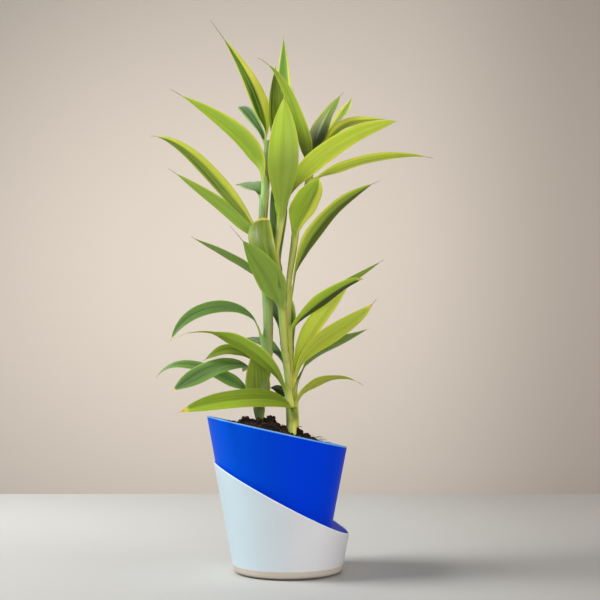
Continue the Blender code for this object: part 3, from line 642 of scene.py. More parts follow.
def shared_group(name, inputs, outputs):
    """Makes a function that fills a tree from its inputs' sockets into one that gives a shader node group,
    built when first asked for. Inputs are (name, socket type, default) and outputs (name, socket type)."""
    def make(fill):
        def give():
            if name in bpy.data.node_groups:
                return bpy.data.node_groups[name]
            tree = Tree(bpy.data.node_groups.new(name, "ShaderNodeTree"))
            for label, kind, default in inputs:
                socket = tree.tree.interface.new_socket(label, in_out="INPUT", socket_type=kind)
                if default is not None:
                    socket.default_value = default
            for label, kind in outputs:
                tree.tree.interface.new_socket(label, in_out="OUTPUT", socket_type=kind)
            tree.put(tree.add("NodeGroupOutput"), fill(tree, tree.add("NodeGroupInput").outputs))
            return tree.tree
        return give
    return make


@shared_group("Plant streaks", [("Vector", "NodeSocketVector", None), ("Across", "NodeSocketFloat", 1.0),
                                ("Length", "NodeSocketFloat", 1.0)],
              [("Broad", "NodeSocketFloat"), ("Narrow", "NodeSocketFloat"), ("Veins", "NodeSocketFloat")])
def plant_streaks(tree, given):
    """Streaks that run along a blade or cane. The vector has across in X and length in Y."""
    x, y, z = tree.split(given["Vector"])
    x = tree.times(x, given["Across"])
    y = tree.times(y, given["Length"])
    streaks = {}
    for label, across, length, detail in (("Broad", 2.2, 1.0, 2.0), ("Narrow", 7.0, 1.3, 2.0),
                                          ("Veins", 26.0, 1.0, 1.0)):
        place = tree.add("ShaderNodeCombineXYZ", {0: tree.times(x, across), 1: tree.times(y, length), 2: z})
        streaks[label] = tree.noise(place.outputs[0], 1.0, detail)
    return streaks


@shared_group("Moulded plastic", [("Roughness", "NodeSocketFloat", 0.4)],
              [("Roughness", "NodeSocketFloat"), ("Height", "NodeSocketFloat")])
def moulded_plastic(tree, given):
    """Faint unevenness of a moulded wall, as a roughness and a height."""
    place = tree.place()
    broad = tree.noise(place, 28.0, 3.0)
    drawn = tree.add("ShaderNodeMapping", {"Vector": place, "Scale": (1, 1, 9)}).outputs[0]
    scuffs = tree.noise(drawn, 160.0, 2.0, 0.6)
    uneven = tree.plus(tree.swing(broad, 0.16), tree.times(tree.step(scuffs, 0.58, 0.75), 0.07))
    return {"Roughness": tree.plus(given["Roughness"], uneven),
            "Height": tree.plus(tree.noise(place, 2400.0, 1.0), tree.times(broad, 3.0))}


@shared_group("Crumbly soil", [("Dark", "NodeSocketColor", None), ("Brown", "NodeSocketColor", None),
                               ("Brownness", "NodeSocketFloat", 0.5)],
              [("Colour", "NodeSocketColor"), ("Height", "NodeSocketFloat")])
def crumbly_soil(tree, given):
    """A soil's patchy colour and its grains, from two colours."""
    place = tree.place()
    patches = tree.noise(place, 130.0, 3.0, 0.6)
    grains = tree.noise(place, 900.0, 3.0, 0.7)
    amount = tree.times(tree.step(patches, 0.42, 0.68), given["Brownness"])
    colour = tree.mix(amount, given["Dark"], given["Brown"])
    colour = tree.mix(tree.step(grains, 0.62, 0.8, 0.0, 0.5), colour, given["Brown"])
    return {"Colour": colour, "Height": grains}


def new_material(name):
    """A material, its Tree and its Principled shader."""
    material = bpy.data.materials.new(name)
    material.use_nodes = True
    return material, Tree(material.node_tree), material.node_tree.nodes["Principled BSDF"]


def plastic_material(name, first, second, low, high, rim, inside, foot, foot_height, roughness, specular):
    """A moulded plastic, a little deeper in broad patches, with a painted contact shadow that darkens it
    where it meets the table. Its colour blends along X from first to second: on the cup this paints in the
    pot's blue shining through its thin wall at the left, on the pot it paints shade towards the right. "rim"
    and "inside"
    are 1 on those places: the rim colour is a painted highlight, and the inside colour a painted blue
    reflection in the cup and painted shade in the pot. The foot colour paints shade and the table's warm
    reflection on the cup's rounded foot, and shade on the pot's."""
    material, tree, shader = new_material(name)
    moulded = tree.group(moulded_plastic(), {"Roughness": roughness})
    place = tree.place()
    x, y, z = tree.split(place)
    # Painted along X: on the cup the pot's blue shining through its wall at the left, on the pot shade
    # towards the right
    colour = tree.mix(tree.step(x, low, high), first, second)
    colour = tree.scale(colour, tree.step(tree.noise(place, 18.0, 2.0), 0.35, 0.7, 1.0, 0.95))
    # Foot colour: painted shade and the table's reflection on the cup's rounded foot, painted shade on the
    # pot's foot
    colour = tree.mix(tree.step(z, foot_height - 1.5 * MM, foot_height, 1.0, 0.0), colour, foot)
    # Painted contact shadow: darker towards z = 0 over the lowest 3 mm, where the cup meets the table; the
    # pot's feet, which stand on the cup's floor, fall in its upper part
    colour = tree.scale(colour, tree.step(z, 0.1 * MM, 3.1 * MM, 0.04, 1.0))
    # Inside: on the cup a painted blue reflection of the pot, on the pot painted shade
    colour = tree.mix(tree.number("inside"), colour, inside)
    # Painted highlight along the rim
    colour = tree.mix(tree.step(tree.number("rim"), 0.72, 0.95), colour, rim)
    tree.put(shader, {"Base Color": colour, "Roughness": moulded["Roughness"],
                      "Normal": tree.bump(moulded["Height"], 0.12, 0.0001), "Specular IOR Level": specular})
    return material


def soil_material(name, settings, brownness):
    material, tree, shader = new_material(name)
    soil = tree.group(crumbly_soil(), {"Dark": settings.dark, "Brown": settings.brown,
                                       "Brownness": brownness})
    tree.put(shader, {"Base Color": soil["Colour"], "Normal": tree.bump(soil["Height"], 0.8, 0.0006),
                      "Roughness": 0.88, "Specular IOR Level": 0.25})
    return material


def fibre_material(settings):
    material, tree, shader = new_material("Coir fibre")
    shade = tree.step(tree.noise(tree.place(), 180.0, 1.0), 0.4, 0.62)
    darker = tuple(value * 0.18 for value in settings.fibre)
    tree.put(shader, {"Base Color": tree.mix(shade, darker, settings.fibre), "Roughness": 0.75})
    return material


def leaf_material(settings):
    """Leaf: dark stripes towards the midrib, on bluish blades grey-blue with a painted sheen, pale margins, a
    paler lower face, and a dried tip and thread.

    "place" holds (across with the lean, along, upper face), "look" holds (stripe, margin, light), where light
    is partly the leaf's own tone and partly painted light and shade, "trait" holds (warm, dryness, share of
    the way from the midrib to the edge) and "thread" is 1 on the withered thread."""
    material, tree, shader = new_material("Variegated leaf")
    across, along, upper = tree.numbers("place")
    stripe, margin, light = tree.numbers("look")
    warm, dry, outward = tree.numbers("trait")
    streaks = tree.group(plant_streaks(), {"Vector": tree.surface(), "Across": 1.0, "Length": 0.8})
    yellowish = tree.step(warm, 0.05, 0.4)
    pale = tree.mix(yellowish, settings.cool_margin, settings.margin)
    # A bluish blade's stripes carry a painted grey-blue sheen
    dark = tree.mix(yellowish, settings.cool_stripe_sheen, settings.stripe)
    green = tree.mix(warm, settings.cool, settings.green)
    sheath = tree.mix(warm, settings.cool_sheath, settings.sheath_colour)

    colour = tree.mix(tree.times(stripe, -1.0), green, pale)
    inner = tree.step(tree.math("ABSOLUTE", across), 0.3, 0.8, 1.0, 0.0)
    bands = tree.times(inner, tree.step(streaks["Narrow"], 0.47, 0.54))
    colour = tree.mix(tree.times(bands, stripe), colour, dark)
    edge = tree.step(tree.plus(outward, tree.swing(streaks["Narrow"], 0.5)),
                     tree.math("SUBTRACT", 0.88, margin), tree.math("SUBTRACT", 1.08, margin))
    colour = tree.mix(tree.times(edge, tree.step(margin, 0.0, 0.06)), colour, pale)
    colour = tree.mix(tree.step(outward, 0.93, 0.98, 0.0, 0.35), colour, pale)
    colour = tree.mix(tree.step(upper, 0.0, 1.0, 0.3, 0.0), colour, settings.under)
    colour = tree.mix(tree.times(tree.step(outward, 0.0, 0.06, 0.4, 0.0), stripe), colour, dark)
    colour = tree.mix(tree.step(along, -0.02, 0.1, 0.9, 0.0), colour, sheath)
    # Each leaf's brightness: partly its own tone, partly painted light and shade
    tone = tree.times(light, tree.step(streaks["Veins"], 0.3, 0.7, 0.93, 1.05))
    colour = tree.scale(colour, tree.times(tone, tree.step(streaks["Broad"], 0.3, 0.7, 0.9, 1.07)))
    colour = tree.mix(tree.step(dry, 0.0, 0.55), colour, settings.margin)
    colour = tree.mix(tree.step(dry, 0.5, 1.0), colour, settings.dry)
    colour = tree.mix(tree.number("thread"), colour, settings.thread)

    rough = tree.plus(tree.step(upper, 0.0, 1.0, 0.48, 0.4), tree.swing(streaks["Narrow"], 0.16))
    height = tree.plus(streaks["Veins"], tree.times(streaks["Narrow"], 1.5))
    tree.put(shader, {"Base Color": colour, "Roughness": rough, "Normal": tree.bump(height, 0.3, 0.00025),
                      "Subsurface Weight": 0.5, "Subsurface Radius": (0.8, 1.0, 0.1),
                      "Subsurface Scale": 0.0015, "Specular IOR Level": 0.3})
    return material


def cane_material(settings):
    """Cane: long soft streaks of light and darker green, browner near the soil and at its ring scars.

    "place" holds (nearness to the soil, ring scar, how bluish the cane is) and "light" its painted light and
    shade."""
    material, tree, shader = new_material("Green cane")
    streaks = tree.group(plant_streaks(), {"Vector": tree.surface(), "Across": 3.0, "Length": 0.6})
    low, ring, cool = tree.numbers("place")
    colour = tree.mix(cool, settings.green, settings.cool)
    for amount, over in ((tree.step(streaks["Broad"], 0.42, 0.6, 0.0, 0.35), settings.shade),
                         (tree.step(streaks["Narrow"], 0.5, 0.72, 0.0, 0.25), settings.shade),
                         (tree.times(low, 0.6), settings.foot), (tree.times(ring, 0.3), settings.scar)):
        colour = tree.mix(amount, colour, over)
    tree.put(shader, {"Base Color": tree.scale(colour, tree.number("light")),
                      "Roughness": tree.step(streaks["Narrow"], 0.3, 0.7, 0.38, 0.5),
                      "Normal": tree.bump(streaks["Veins"], 0.3, 0.0003), "Subsurface Weight": 0.3,
                      "Subsurface Radius": (0.6, 1.0, 0.12), "Subsurface Scale": 0.0015,
                      "Specular IOR Level": 0.35})
    return material


# Planter

def cup_radius(z):
    return CUP_RADIUS_AT_BEND + TAPER * (z - CUP_FOOT_BEND)


def pot_radius(z):
    return POT_RADIUS_AT_FLOOR + TAPER * (z - POT_BOTTOM)


def rim_fall(radius, rim):
    """Where a rim's left end is along X, and how far it falls for each metre to the right."""
    left = rim.centre_x - radius(rim.left)
    return left, (rim.right - rim.left) / (rim.centre_x + radius(rim.right) - left)


def slanted_rim(radius, rim, angle, inset=0.0):
    """Height where a tapered wall meets the slanted plane of its rim, at each angle about the axis.

    The plane is z = left + k (x - x_left + y tan(turn)) and the wall lies at the radius r0 + T z, so with
    c = cos(angle) + sin(angle) tan(turn) the height is z = (left + k (cx - x_left + r0 c)) / (1 - k T c)."""
    x_left, fall = rim_fall(radius, rim)
    towards = np.cos(angle) + np.sin(angle) * math.tan(rim.turn)
    at_zero = radius(0.0) - inset
    return (rim.left + fall * (rim.centre_x - x_left + at_zero * towards)) / (1 - fall * TAPER * towards)


def shell_rows(radius, wall, rim, wall_from, inner_from, angle):
    """Rows (radius, height) of a tapered wall: up its outer face, over its round rim and down its inner
    face."""
    outer_top = slanted_rim(radius, rim, angle) - wall / 2
    inner_top = slanted_rim(radius, rim, angle, wall) - wall / 2
    share = np.linspace(0, 1, WALL_ROWS)[:, None]
    up = wall_from + share * (outer_top - wall_from)
    down = inner_top + share * (inner_from - inner_top)
    turn = np.linspace(0, np.pi, RIM_ROWS + 2)[1:-1, None]
    middle = (radius(outer_top) + radius(inner_top) - wall) / 2
    half = (radius(outer_top) - radius(inner_top) + wall) / 2
    rim_height = outer_top + (inner_top - outer_top) * (1 - np.cos(turn)) / 2 + wall / 2 * np.sin(turn)
    rim_radius = middle + half * np.cos(turn)
    return (np.concatenate([radius(up), rim_radius, radius(down) - wall]),
            np.concatenate([up, rim_height, down]))


def turned_mesh(name, parts, centre_x, angle, marks=None):
    """A mesh from parts (radii, heights), each of rows by angles, one after the other, with a pole at either
    end of the profile. Marks are attributes with a number a row."""
    radii, heights = (np.concatenate(part) for part in zip(*parts))
    rows = np.stack([centre_x + radii * np.cos(angle), radii * np.sin(angle), heights], axis=-1)
    poles = np.array([[centre_x, 0, heights[0].mean()], [centre_x, 0, heights[-1].mean()]])
    marks = {label: np.concatenate([np.repeat(values, SHELL_STEPS), values[[0, -1]]])
             for label, values in (marks or {}).items()}
    return make_mesh(name, np.concatenate([rows.reshape(-1, 3), poles]),
                     closed_faces(len(radii), SHELL_STEPS), attributes=marks)


def flat_rows(pairs):
    """Level rings of a shell, from (radius, height) pairs."""
    radii, heights = np.array(pairs, float).T
    even = np.ones(SHELL_STEPS)
    return radii[:, None] * even, heights[:, None] * even


def round_the_axis():
    """Angles of a shell's columns."""
    return np.linspace(0, 2 * np.pi, SHELL_STEPS, endpoint=False)


def cup_mesh(wall):
    """Flat foot, a rounded bend of elliptic section, the tapered wall with its slanted rim, and the floor."""
    angle = round_the_axis()
    bend = np.linspace(0, np.pi / 2, CUP_BEND_ROWS + 1)[:-1]
    foot = [(share * CUP_FOOT_RADIUS, 0.0) for share in (0.05, 0.5, 0.9, 0.99)]
    foot += [(CUP_FOOT_RADIUS + (CUP_RADIUS_AT_BEND - CUP_FOOT_RADIUS) * math.sin(a),
              CUP_FOOT_BEND * (1 - math.cos(a))) for a in bend]
    corner = FLOOR + CUP_INNER_CORNER
    reach = cup_radius(corner) - wall
    floor = [(reach - CUP_INNER_CORNER * (1 - math.cos(a)), corner - CUP_INNER_CORNER * math.sin(a))
             for a in bend[1:]]
    floor += [(reach - CUP_INNER_CORNER, FLOOR), (0.5 * reach, FLOOR), (0.05 * reach, FLOOR)]
    parts = (flat_rows(foot), shell_rows(cup_radius, wall, CUP_RIM, CUP_FOOT_BEND, corner, angle),
             flat_rows(floor))
    row = np.arange(len(foot) + 2 * WALL_ROWS + RIM_ROWS + len(floor)) - len(foot) - WALL_ROWS
    # The material paints a highlight on the rim rows and the pot's blue reflection on the inside rows
    marks = {"rim": (row >= -1) & (row <= RIM_ROWS), "inside": row >= RIM_ROWS}
    return turned_mesh("outer_cup_shell", parts, 0.0, angle, marks)


def pot_mesh(wall):
    """Foot ring, the tapered wall with its slanted rim, and the floor. Drain holes and notches are cut
    later."""
    angle = round_the_axis()
    ring = POT_FOOT_RING - POT_FOOT_RING_WIDTH
    edge, bevel = pot_radius(POT_BOTTOM), 0.3 * POT_EDGE_ROUND
    under = [(0.05 * ring, POT_BOTTOM), (0.98 * ring, POT_BOTTOM), (ring, POT_BOTTOM), (ring, POT_FEET_BASE),
             (POT_FOOT_RING, POT_FEET_BASE), (POT_FOOT_RING, POT_BOTTOM), (1.02 * POT_FOOT_RING, POT_BOTTOM),
             (edge - POT_EDGE_ROUND, POT_BOTTOM), (edge - bevel, POT_BOTTOM + bevel)]
    floor = POT_BOTTOM + FLOOR
    reach = pot_radius(floor) - wall
    inside = [(reach - bevel, floor + bevel), (reach - POT_EDGE_ROUND, floor), (0.5 * reach, floor),
              (0.05 * reach, floor)]
    parts = (flat_rows(under), shell_rows(pot_radius, wall, POT_RIM, POT_BOTTOM + POT_EDGE_ROUND,
                                          floor + POT_EDGE_ROUND, angle), flat_rows(inside))
    return turned_mesh("inner_pot_shell", parts, POT_X, angle)


def pot_cutter():
    """One helper object with the drain holes' cylinders and the two crossed notch blocks of the foot ring."""
    bm = bmesh.new()
    for index in range(DRAIN_COUNT + 1):
        angle = 2 * math.pi * index / DRAIN_COUNT
        reach = DRAIN_RING if index < DRAIN_COUNT else 0
        made = bmesh.ops.create_cone(bm, cap_ends=True, segments=CUTTER_SIDES, radius1=DRAIN_HOLE / 2,
                                     radius2=DRAIN_HOLE / 2, depth=3 * FLOOR)
        bmesh.ops.translate(bm, verts=made["verts"], vec=(POT_X + reach * math.cos(angle),
                                                          reach * math.sin(angle), POT_BOTTOM + FLOOR / 2))
    for turn, depth in NOTCH_BLOCKS:
        size = Matrix.Diagonal((3 * POT_FOOT_RING, POT_FOOT_NOTCH, POT_FOOT_HEIGHT, 1))
        place = Matrix.Translation((POT_X, 0, POT_BOTTOM - depth * POT_FOOT_HEIGHT))
        bmesh.ops.create_cube(bm, size=1, matrix=place @ Matrix.Rotation(math.radians(turn), 4, "Z") @ size)
    mesh = bpy.data.meshes.new("drain_holes")
    bm.to_mesh(mesh)
    bm.free()
    return bpy.data.objects.new("drain_holes", mesh)


def cut(obj, cutter):
    """Cuts the cutter from the object by a Boolean, puts the result in its mesh without slivers and removes
    the cutter."""
    link(cutter)
    modifier = obj.modifiers.new("Cut", "BOOLEAN")
    modifier.operation = "DIFFERENCE"
    modifier.object = cutter
    modifier.use_self = True
    bpy.context.view_layer.update()
    mesh = bpy.data.meshes.new_from_object(obj.evaluated_get(bpy.context.evaluated_depsgraph_get()))
    obj.modifiers.clear()
    bm = bmesh.new()
    bm.from_mesh(mesh)
    bmesh.ops.remove_doubles(bm, verts=bm.verts, dist=SLIVER)
    bmesh.ops.dissolve_degenerate(bm, edges=bm.edges, dist=SLIVER)
    bm.to_mesh(mesh)
    bm.free()
    obj.data = mesh
    bpy.data.objects.remove(cutter, do_unlink=True)


def mark_pot(mesh, wall):
    """Marks the cut pot's rim and inside, from how far each point is below the rim's plane and from the
    middle of the wall. On these places the material paints a highlight along the rim and shade inside."""
    points = np.empty(3 * len(mesh.vertices))
    mesh.vertices.foreach_get("co", points)
    x, y, z = points.reshape(-1, 3).T
    add_attributes(mesh, {"rim": pot_rim(x, y) - z < wall,
                          "inside": np.hypot(x - POT_X, y) < pot_radius(z) - wall / 2})


# Soil

def pot_rim(x, y):
    """Height of the pot's rim plane: it falls from the left to the right, and a little to the back."""
    left, fall = rim_fall(pot_radius, POT_RIM)
    return POT_RIM_LEFT + fall * (x - left + y * math.tan(POT_RIM_TURN))


def soil_height(x, y, relief):
    """The rim's plane less a little, a broad heap and some mounds as exp of minus the squared distance, and
    three octaves of value noise as lumps."""
    heap = SOIL_HEAP * np.exp(-((x - SOIL_HEAP_X) / SOIL_HEAP_WIDE) ** 2 - (y / SOIL_HEAP_DEEP) ** 2)
    for at_x, at_y, high, wide in SOIL_MOUNDS:
        heap = heap + high * MM * np.exp(-((x / MM - at_x) ** 2 + (y / MM - at_y) ** 2) / wide ** 2)
    lumps = sum((lattice_noise(x, y, cell * MM, seed) - 0.5) * share for cell, share, seed in SOIL_LUMPS)
    return pot_rim(x, y) - SOIL_BELOW_RIM + heap + relief * lumps


def soil_reach(angle, wall, relief):
    """How far the surface runs from the pot's axis before it meets the wall, by stepping along the cone."""
    reach = np.full_like(angle, pot_radius(POT_RIM_RIGHT))
    for _ in range(SOIL_REACH_STEPS):
        height = soil_height(POT_X + reach * np.cos(angle), reach * np.sin(angle), relief)
        reach = pot_radius(height) - wall - SOIL_FROM_WALL
    return reach


def soil_mesh(wall, relief):
    """Rings from the middle of the heap out to the wall, then down the wall to the pot's floor."""
    angle = round_the_axis()
    reach = np.linspace(0.01, 1, SOIL_RINGS)[:, None] * soil_reach(angle, wall, relief)
    top = soil_height(POT_X + reach * np.cos(angle), reach * np.sin(angle), relief)
    low = SOIL_BOTTOM + SOIL_FOOT_BEND
    down = top[-1] + np.linspace(0, 1, SOIL_SIDE_ROWS + 1)[1:, None] * (low - top[-1])
    floor = [(pot_radius(low) - wall - SOIL_FOOT_INSET, SOIL_BOTTOM), (SOIL_FOOT_BEND, SOIL_BOTTOM)]
    parts = ((reach, top), (pot_radius(down) - wall - SOIL_FROM_WALL, down), flat_rows(floor))
    return turned_mesh("soil_heap", parts, POT_X, angle)


def scattered(rng, count, wall, relief, margin):
    """Random spots on the soil: angle even, radius as the square root of an even draw, with their height."""
    angle = rng.uniform(0, 2 * np.pi, count)
    reach = (soil_reach(angle, wall, relief) - margin) * np.sqrt(rng.random(count))
    x, y = POT_X + reach * np.cos(angle), reach * np.sin(angle)
    return np.stack([x, y, soil_height(x, y, relief)], axis=-1)


def turns(rng, count):
    """Random rotation matrices, from unit quaternions drawn as normal numbers."""
    w, x, y, z = unit(rng.normal(size=(count, 4))).T
    rows = ((1 - 2 * (y * y + z * z), 2 * (x * y - z * w), 2 * (x * z + y * w)),
            (2 * (x * y + z * w), 1 - 2 * (x * x + z * z), 2 * (y * z - x * w)),
            (2 * (x * z - y * w), 2 * (y * z + x * w), 1 - 2 * (x * x + y * y)))
    return np.array(rows).transpose(2, 0, 1)


def crumb_mesh(count, wall, relief):
    """Crumbs: a small ball whose points are moved in and out at random, stretched, turned and half sunk."""
    rng = np.random.default_rng(CRUMB_SEED)
    bm = bmesh.new()
    bmesh.ops.create_icosphere(bm, subdivisions=2, radius=1.0)
    ball = np.array([v.co[:] for v in bm.verts])
    corners = np.array([[v.index for v in face.verts] for face in bm.faces])
    bm.free()
    size = CRUMB_SMALLEST + CRUMB_LARGER_BY * rng.random(count) ** 3
    spots = scattered(rng, count, wall, relief, CRUMB_FROM_WALL)
    stretch = rng.uniform(*CRUMB_STRETCH, (count, 1, 3))
    rough = 1 + rng.uniform(-CRUMB_ROUGHNESS, CRUMB_ROUGHNESS, (count, len(ball), 1))
    shapes = ball[None] * rough * stretch * size[:, None, None]
    shapes = np.einsum("kij,kvj->kvi", turns(rng, count), shapes)
    points = shapes + spots[:, None, :] + np.array([0, 0, CRUMB_STANDS_OUT]) * size[:, None, None]
    faces = (corners[None] + (np.arange(count) * len(ball))[:, None, None]).reshape(-1, 3)
    return make_mesh("crumbs", points, np.concatenate([faces, faces[:, 2:]], axis=1))


def square_tubes(name, paths, radii):
    """Tubes of square section round many paths at once, (tubes, points, 3), of radii (tubes, points)."""
    tubes, count, _ = paths.shape
    along = unit(np.gradient(paths, axis=1))
    side = square(np.broadcast_to([0.31, 0.52, 0.79], along.shape), along)
    other = np.cross(along, side)
    turn = np.linspace(0, 2 * np.pi, 4, endpoint=False)
    ring = np.cos(turn)[:, None] * side[:, :, None, :] + np.sin(turn)[:, None] * other[:, :, None, :]
    points = paths[:, :, None, :] + radii[:, :, None, None] * ring
    ends = [[3, 2, 1, 0], np.arange(4) + (count - 1) * 4]
    one = np.concatenate([grid_quads(count, 4, True), ends])
    faces = one[None] + (np.arange(tubes) * count * 4)[:, None, None]
    return make_mesh(name, points, faces.reshape(-1, 4))


def fibre_mesh(count, wall, relief):
    """Coir fibres: short arcs that start in the soil, rise, bend over at random and thin to both ends."""
    rng = np.random.default_rng(FIBRE_SEED)
    starts = scattered(rng, count, wall, relief, FIBRE_FROM_WALL)
    turn = rng.uniform(0, 2 * np.pi, count)
    length = rng.uniform(*FIBRE_LENGTH, count) * MM
    lift = rng.uniform(*FIBRE_LIFT, count)
    bend = rng.uniform(*FIBRE_BEND, count)
    share = np.linspace(FIBRE_SUNK, 1, FIBRE_ROWS)[None, :]
    swing = turn[:, None] + bend[:, None] * share
    run = length[:, None] * share
    x = starts[:, :1] + run * np.cos(swing) * 0.8
    y = starts[:, 1:2] + run * np.sin(swing) * 0.8
    z = starts[:, 2:] + run * lift[:, None] * (1 - 0.75 * share) * 0.7
    radii = rng.uniform(*FIBRE_RADIUS, (count, 1)) * MM * (1 - 0.7 * np.abs(share - 0.4))
    return square_tubes("fibres", np.stack([x, y, z], axis=-1), radii)


# Canes and leaves

def on_cane(cane, heights):
    """Points of the cane's middle line at these heights, and its direction there."""
    line = through(cane.line, 40 * len(cane.line))

    def at(z):
        return np.stack([np.interp(z, line[:, 2], line[:, k]) for k in (0, 1)] + [z], axis=-1)

    return at(heights), unit(at(heights + CANE_SLOPE_SPAN) - at(heights - CANE_SLOPE_SPAN))


def cane_radius(cane, heights):
    """A cane is slimmer or thicker where it comes out of the soil and thins evenly upwards from over it."""
    top = cane.line[-1][2]
    share = np.clip((heights - CANE_TAPERS_FROM) / (top - CANE_TAPERS_FROM), 0, 1)
    radius = cane.foot_radius + (cane.top_radius - cane.foot_radius) * share
    return radius * (1 - cane.slim * (1 - ease(SOIL_LINE + 8, CANE_TAPERS_FROM + 18, heights)))


def coolness(cane, rightwards):
    """How bluish a cane is on the side that faces that far to the right, from -1 to 1."""
    return np.clip(cane.cool - cane.turn * rightwards, 0, 1)


def side_light(cane, rightwards, height):
    """Painted brightness of a cane on the side that faces that far to the right, from -1 to 1: its left is
    painted in shade, and near the soil the left is darker still and the right brighter."""
    low = 1 - ease(*LOW_LIGHT_ENDS, height)
    return (1 + LOW_LIGHT_RIGHT * low * ease(0, 0.7, rightwards)
            - (cane.shade + LOW_SHADE_LEFT * low) * ease(0.1, 0.8, -rightwards))


def leaf_start(cane, leaf):
    """Where a leaf leaves its cane's middle line."""
    return on_cane(cane, np.array([float(leaf.height)]))[0][0]


def leaf_heading(cane, leaf):
    """Compass angle in degrees that a leaf sets out in: its own, or straight to its tip."""
    if leaf.heading is not None:
        return leaf.heading
    start = leaf_start(cane, leaf)
    return math.degrees(math.atan2(leaf.tip[1] - start[1], leaf.tip[0] - start[0]))


def sheath_length(cane, leaf):
    """A sheath reaches down its cane to the next lower leaf on the same side, within bounds."""
    lower = []
    for other in LEAVES[cane.name]:
        between = abs((leaf_heading(cane, leaf) - leaf_heading(cane, other) + 180) % 360 - 180)
        if other.height < leaf.height - SHEATH_GAP and between < SHEATH_SAME_SIDE:
            lower.append(leaf.height - other.height)
    shortest, longest = SHEATH_LENGTHS
    return min(max(min(lower, default=SHEATH_LONE) - SHEATH_GAP, shortest), longest)


def ring_heights(cane):
    """Ring scars: at the foot of each sheath, and one on the bare stretch over the soil."""
    feet = [leaf.height - sheath_length(cane, leaf) for leaf in LEAVES[cane.name]]
    return np.array(feet + [SOIL_LINE + BARE_RING_OVER_SOIL])


def cane_mesh(cane, settings):
    """A tube along the cane's middle line, with low ribs. Its radius has a lip at each ring,
    exp(-(z - ring)^2 / w^2)."""
    foot, top = cane.line[0][2], cane.line[-1][2]
    heights = np.linspace(foot, top, CANE_ROWS)
    centre, along = on_cane(cane, heights)
    rings = np.exp(-((heights[:, None] - ring_heights(cane)) / RING_SCAR_WIDTH) ** 2).max(axis=1)
    radius = cane_radius(cane, heights) * np.clip((top - heights) / CANE_TOP_ROUND, 0.02, 1) ** 0.5
    side = square(np.broadcast_to([0.0, -1.0, 0.0], along.shape), along)
    other = np.cross(along, side)
    turn = np.linspace(0, 2 * np.pi, CANE_COLUMNS, endpoint=False)
    ribs = 1 + sum(high * np.cos(many * turn + begin) for high, many, begin in CANE_RIBS)
    reach = radius[:, None] * ribs[None] + (settings.ring / MM) * rings[:, None]
    points = centre[:, None] + reach[..., None] * (np.cos(turn)[:, None] * side[:, None]
                                                   + np.sin(turn)[:, None] * other[:, None])
    points = np.concatenate([points.reshape(-1, 3), centre[[0, -1]]]) * MM
    around = np.concatenate([np.tile(np.abs(turn / np.pi - 1), CANE_ROWS), [0, 0]])
    up = np.concatenate([np.repeat(heights, CANE_COLUMNS), [foot, top]]) / STREAK_UNIT
    low = 1 - ease(SOIL_LINE, SOIL_LINE + 26, heights)
    cool = coolness(cane, np.sin(turn)) * (1 - 0.8 * low[:, None])
    place = np.stack([np.repeat(low, CANE_COLUMNS), np.repeat(rings, CANE_COLUMNS), cool.ravel()], axis=-1)
    # Painted light and shade round the cane, from side_light
    light = side_light(cane, np.sin(turn), heights[:, None]).ravel()
    return make_mesh(cane.name + "_stem", points, closed_faces(CANE_ROWS, CANE_COLUMNS),
                     uv=np.stack([around, up], axis=-1),
                     attributes={"place": np.concatenate([place, np.zeros((2, 3))]),
                                 "light": np.concatenate([light, [1, 1]])})


def slope(length, angle, compass):
    """A step of that length, rising at an angle towards a compass direction."""
    return length * np.array([math.cos(angle) * math.cos(compass), math.cos(angle) * math.sin(compass),
                              math.sin(angle)])


def leaf_midrib(leaf, start, t):
    """Cubic Bezier curve from the cane to the tip, (1-t)^3 a + 3 (1-t)^2 t b + 3 (1-t) t^2 c + t^3 d, with
    the level direction to its left, which turns from the heading at the cane to the tip's, and the
    heading."""
    tip = np.array(leaf.tip, float)
    run = tip - start
    length = np.linalg.norm(run)
    out = math.atan2(run[1], run[0]) if leaf.heading is None else math.radians(leaf.heading)
    upright = leaf.droop > 90 or math.hypot(run[0], run[1]) < LEAF_UPRIGHT_RUN
    home = out if upright else math.atan2(run[1], run[0])
    first = start + slope(length * leaf.grip, math.radians(leaf.rise), out)
    last = tip - slope(length * leaf.reach, math.radians(leaf.droop), home)
    t = t[:, None]
    path = (1 - t) ** 3 * start + 3 * (1 - t) ** 2 * t * first + 3 * (1 - t) * t ** 2 * last + t ** 3 * tip
    turn = ease(0, LEAF_TURN_SHARE, t)
    side = ((1 - turn) * np.array([-math.sin(out), math.cos(out), 0])
            + turn * np.array([-math.sin(home), math.cos(home), 0]))
    return path, side, np.array([math.cos(out), math.sin(out), 0])


def leaf_width(leaf, t):
    """A narrow stalk that widens by a smooth step to the crest and runs out in a long point,
    (1 - past^a)^b. A blunt leaf ends in a half ellipse instead."""
    stalk = min(LEAF_STALK_MOST, LEAF_STALK_WIDTH / leaf.width)
    grow = stalk + (1 - stalk) * ease(leaf.stalk - LEAF_STALK_BLEND, leaf.crest, t)
    past = np.clip((t - leaf.crest) / (1 - leaf.thread - leaf.crest), 0, 1)
    if leaf.blunt:
        return leaf.width * grow * np.sqrt(np.clip(1 - past ** 4, 0.0005, 1))
    return np.maximum(leaf.width * grow * (1 - past ** LEAF_POINT_START) ** LEAF_POINT_END,
                      LEAF_THREAD_WIDTH * (1 - 0.5 * ease(1 - leaf.thread, 1, t)))


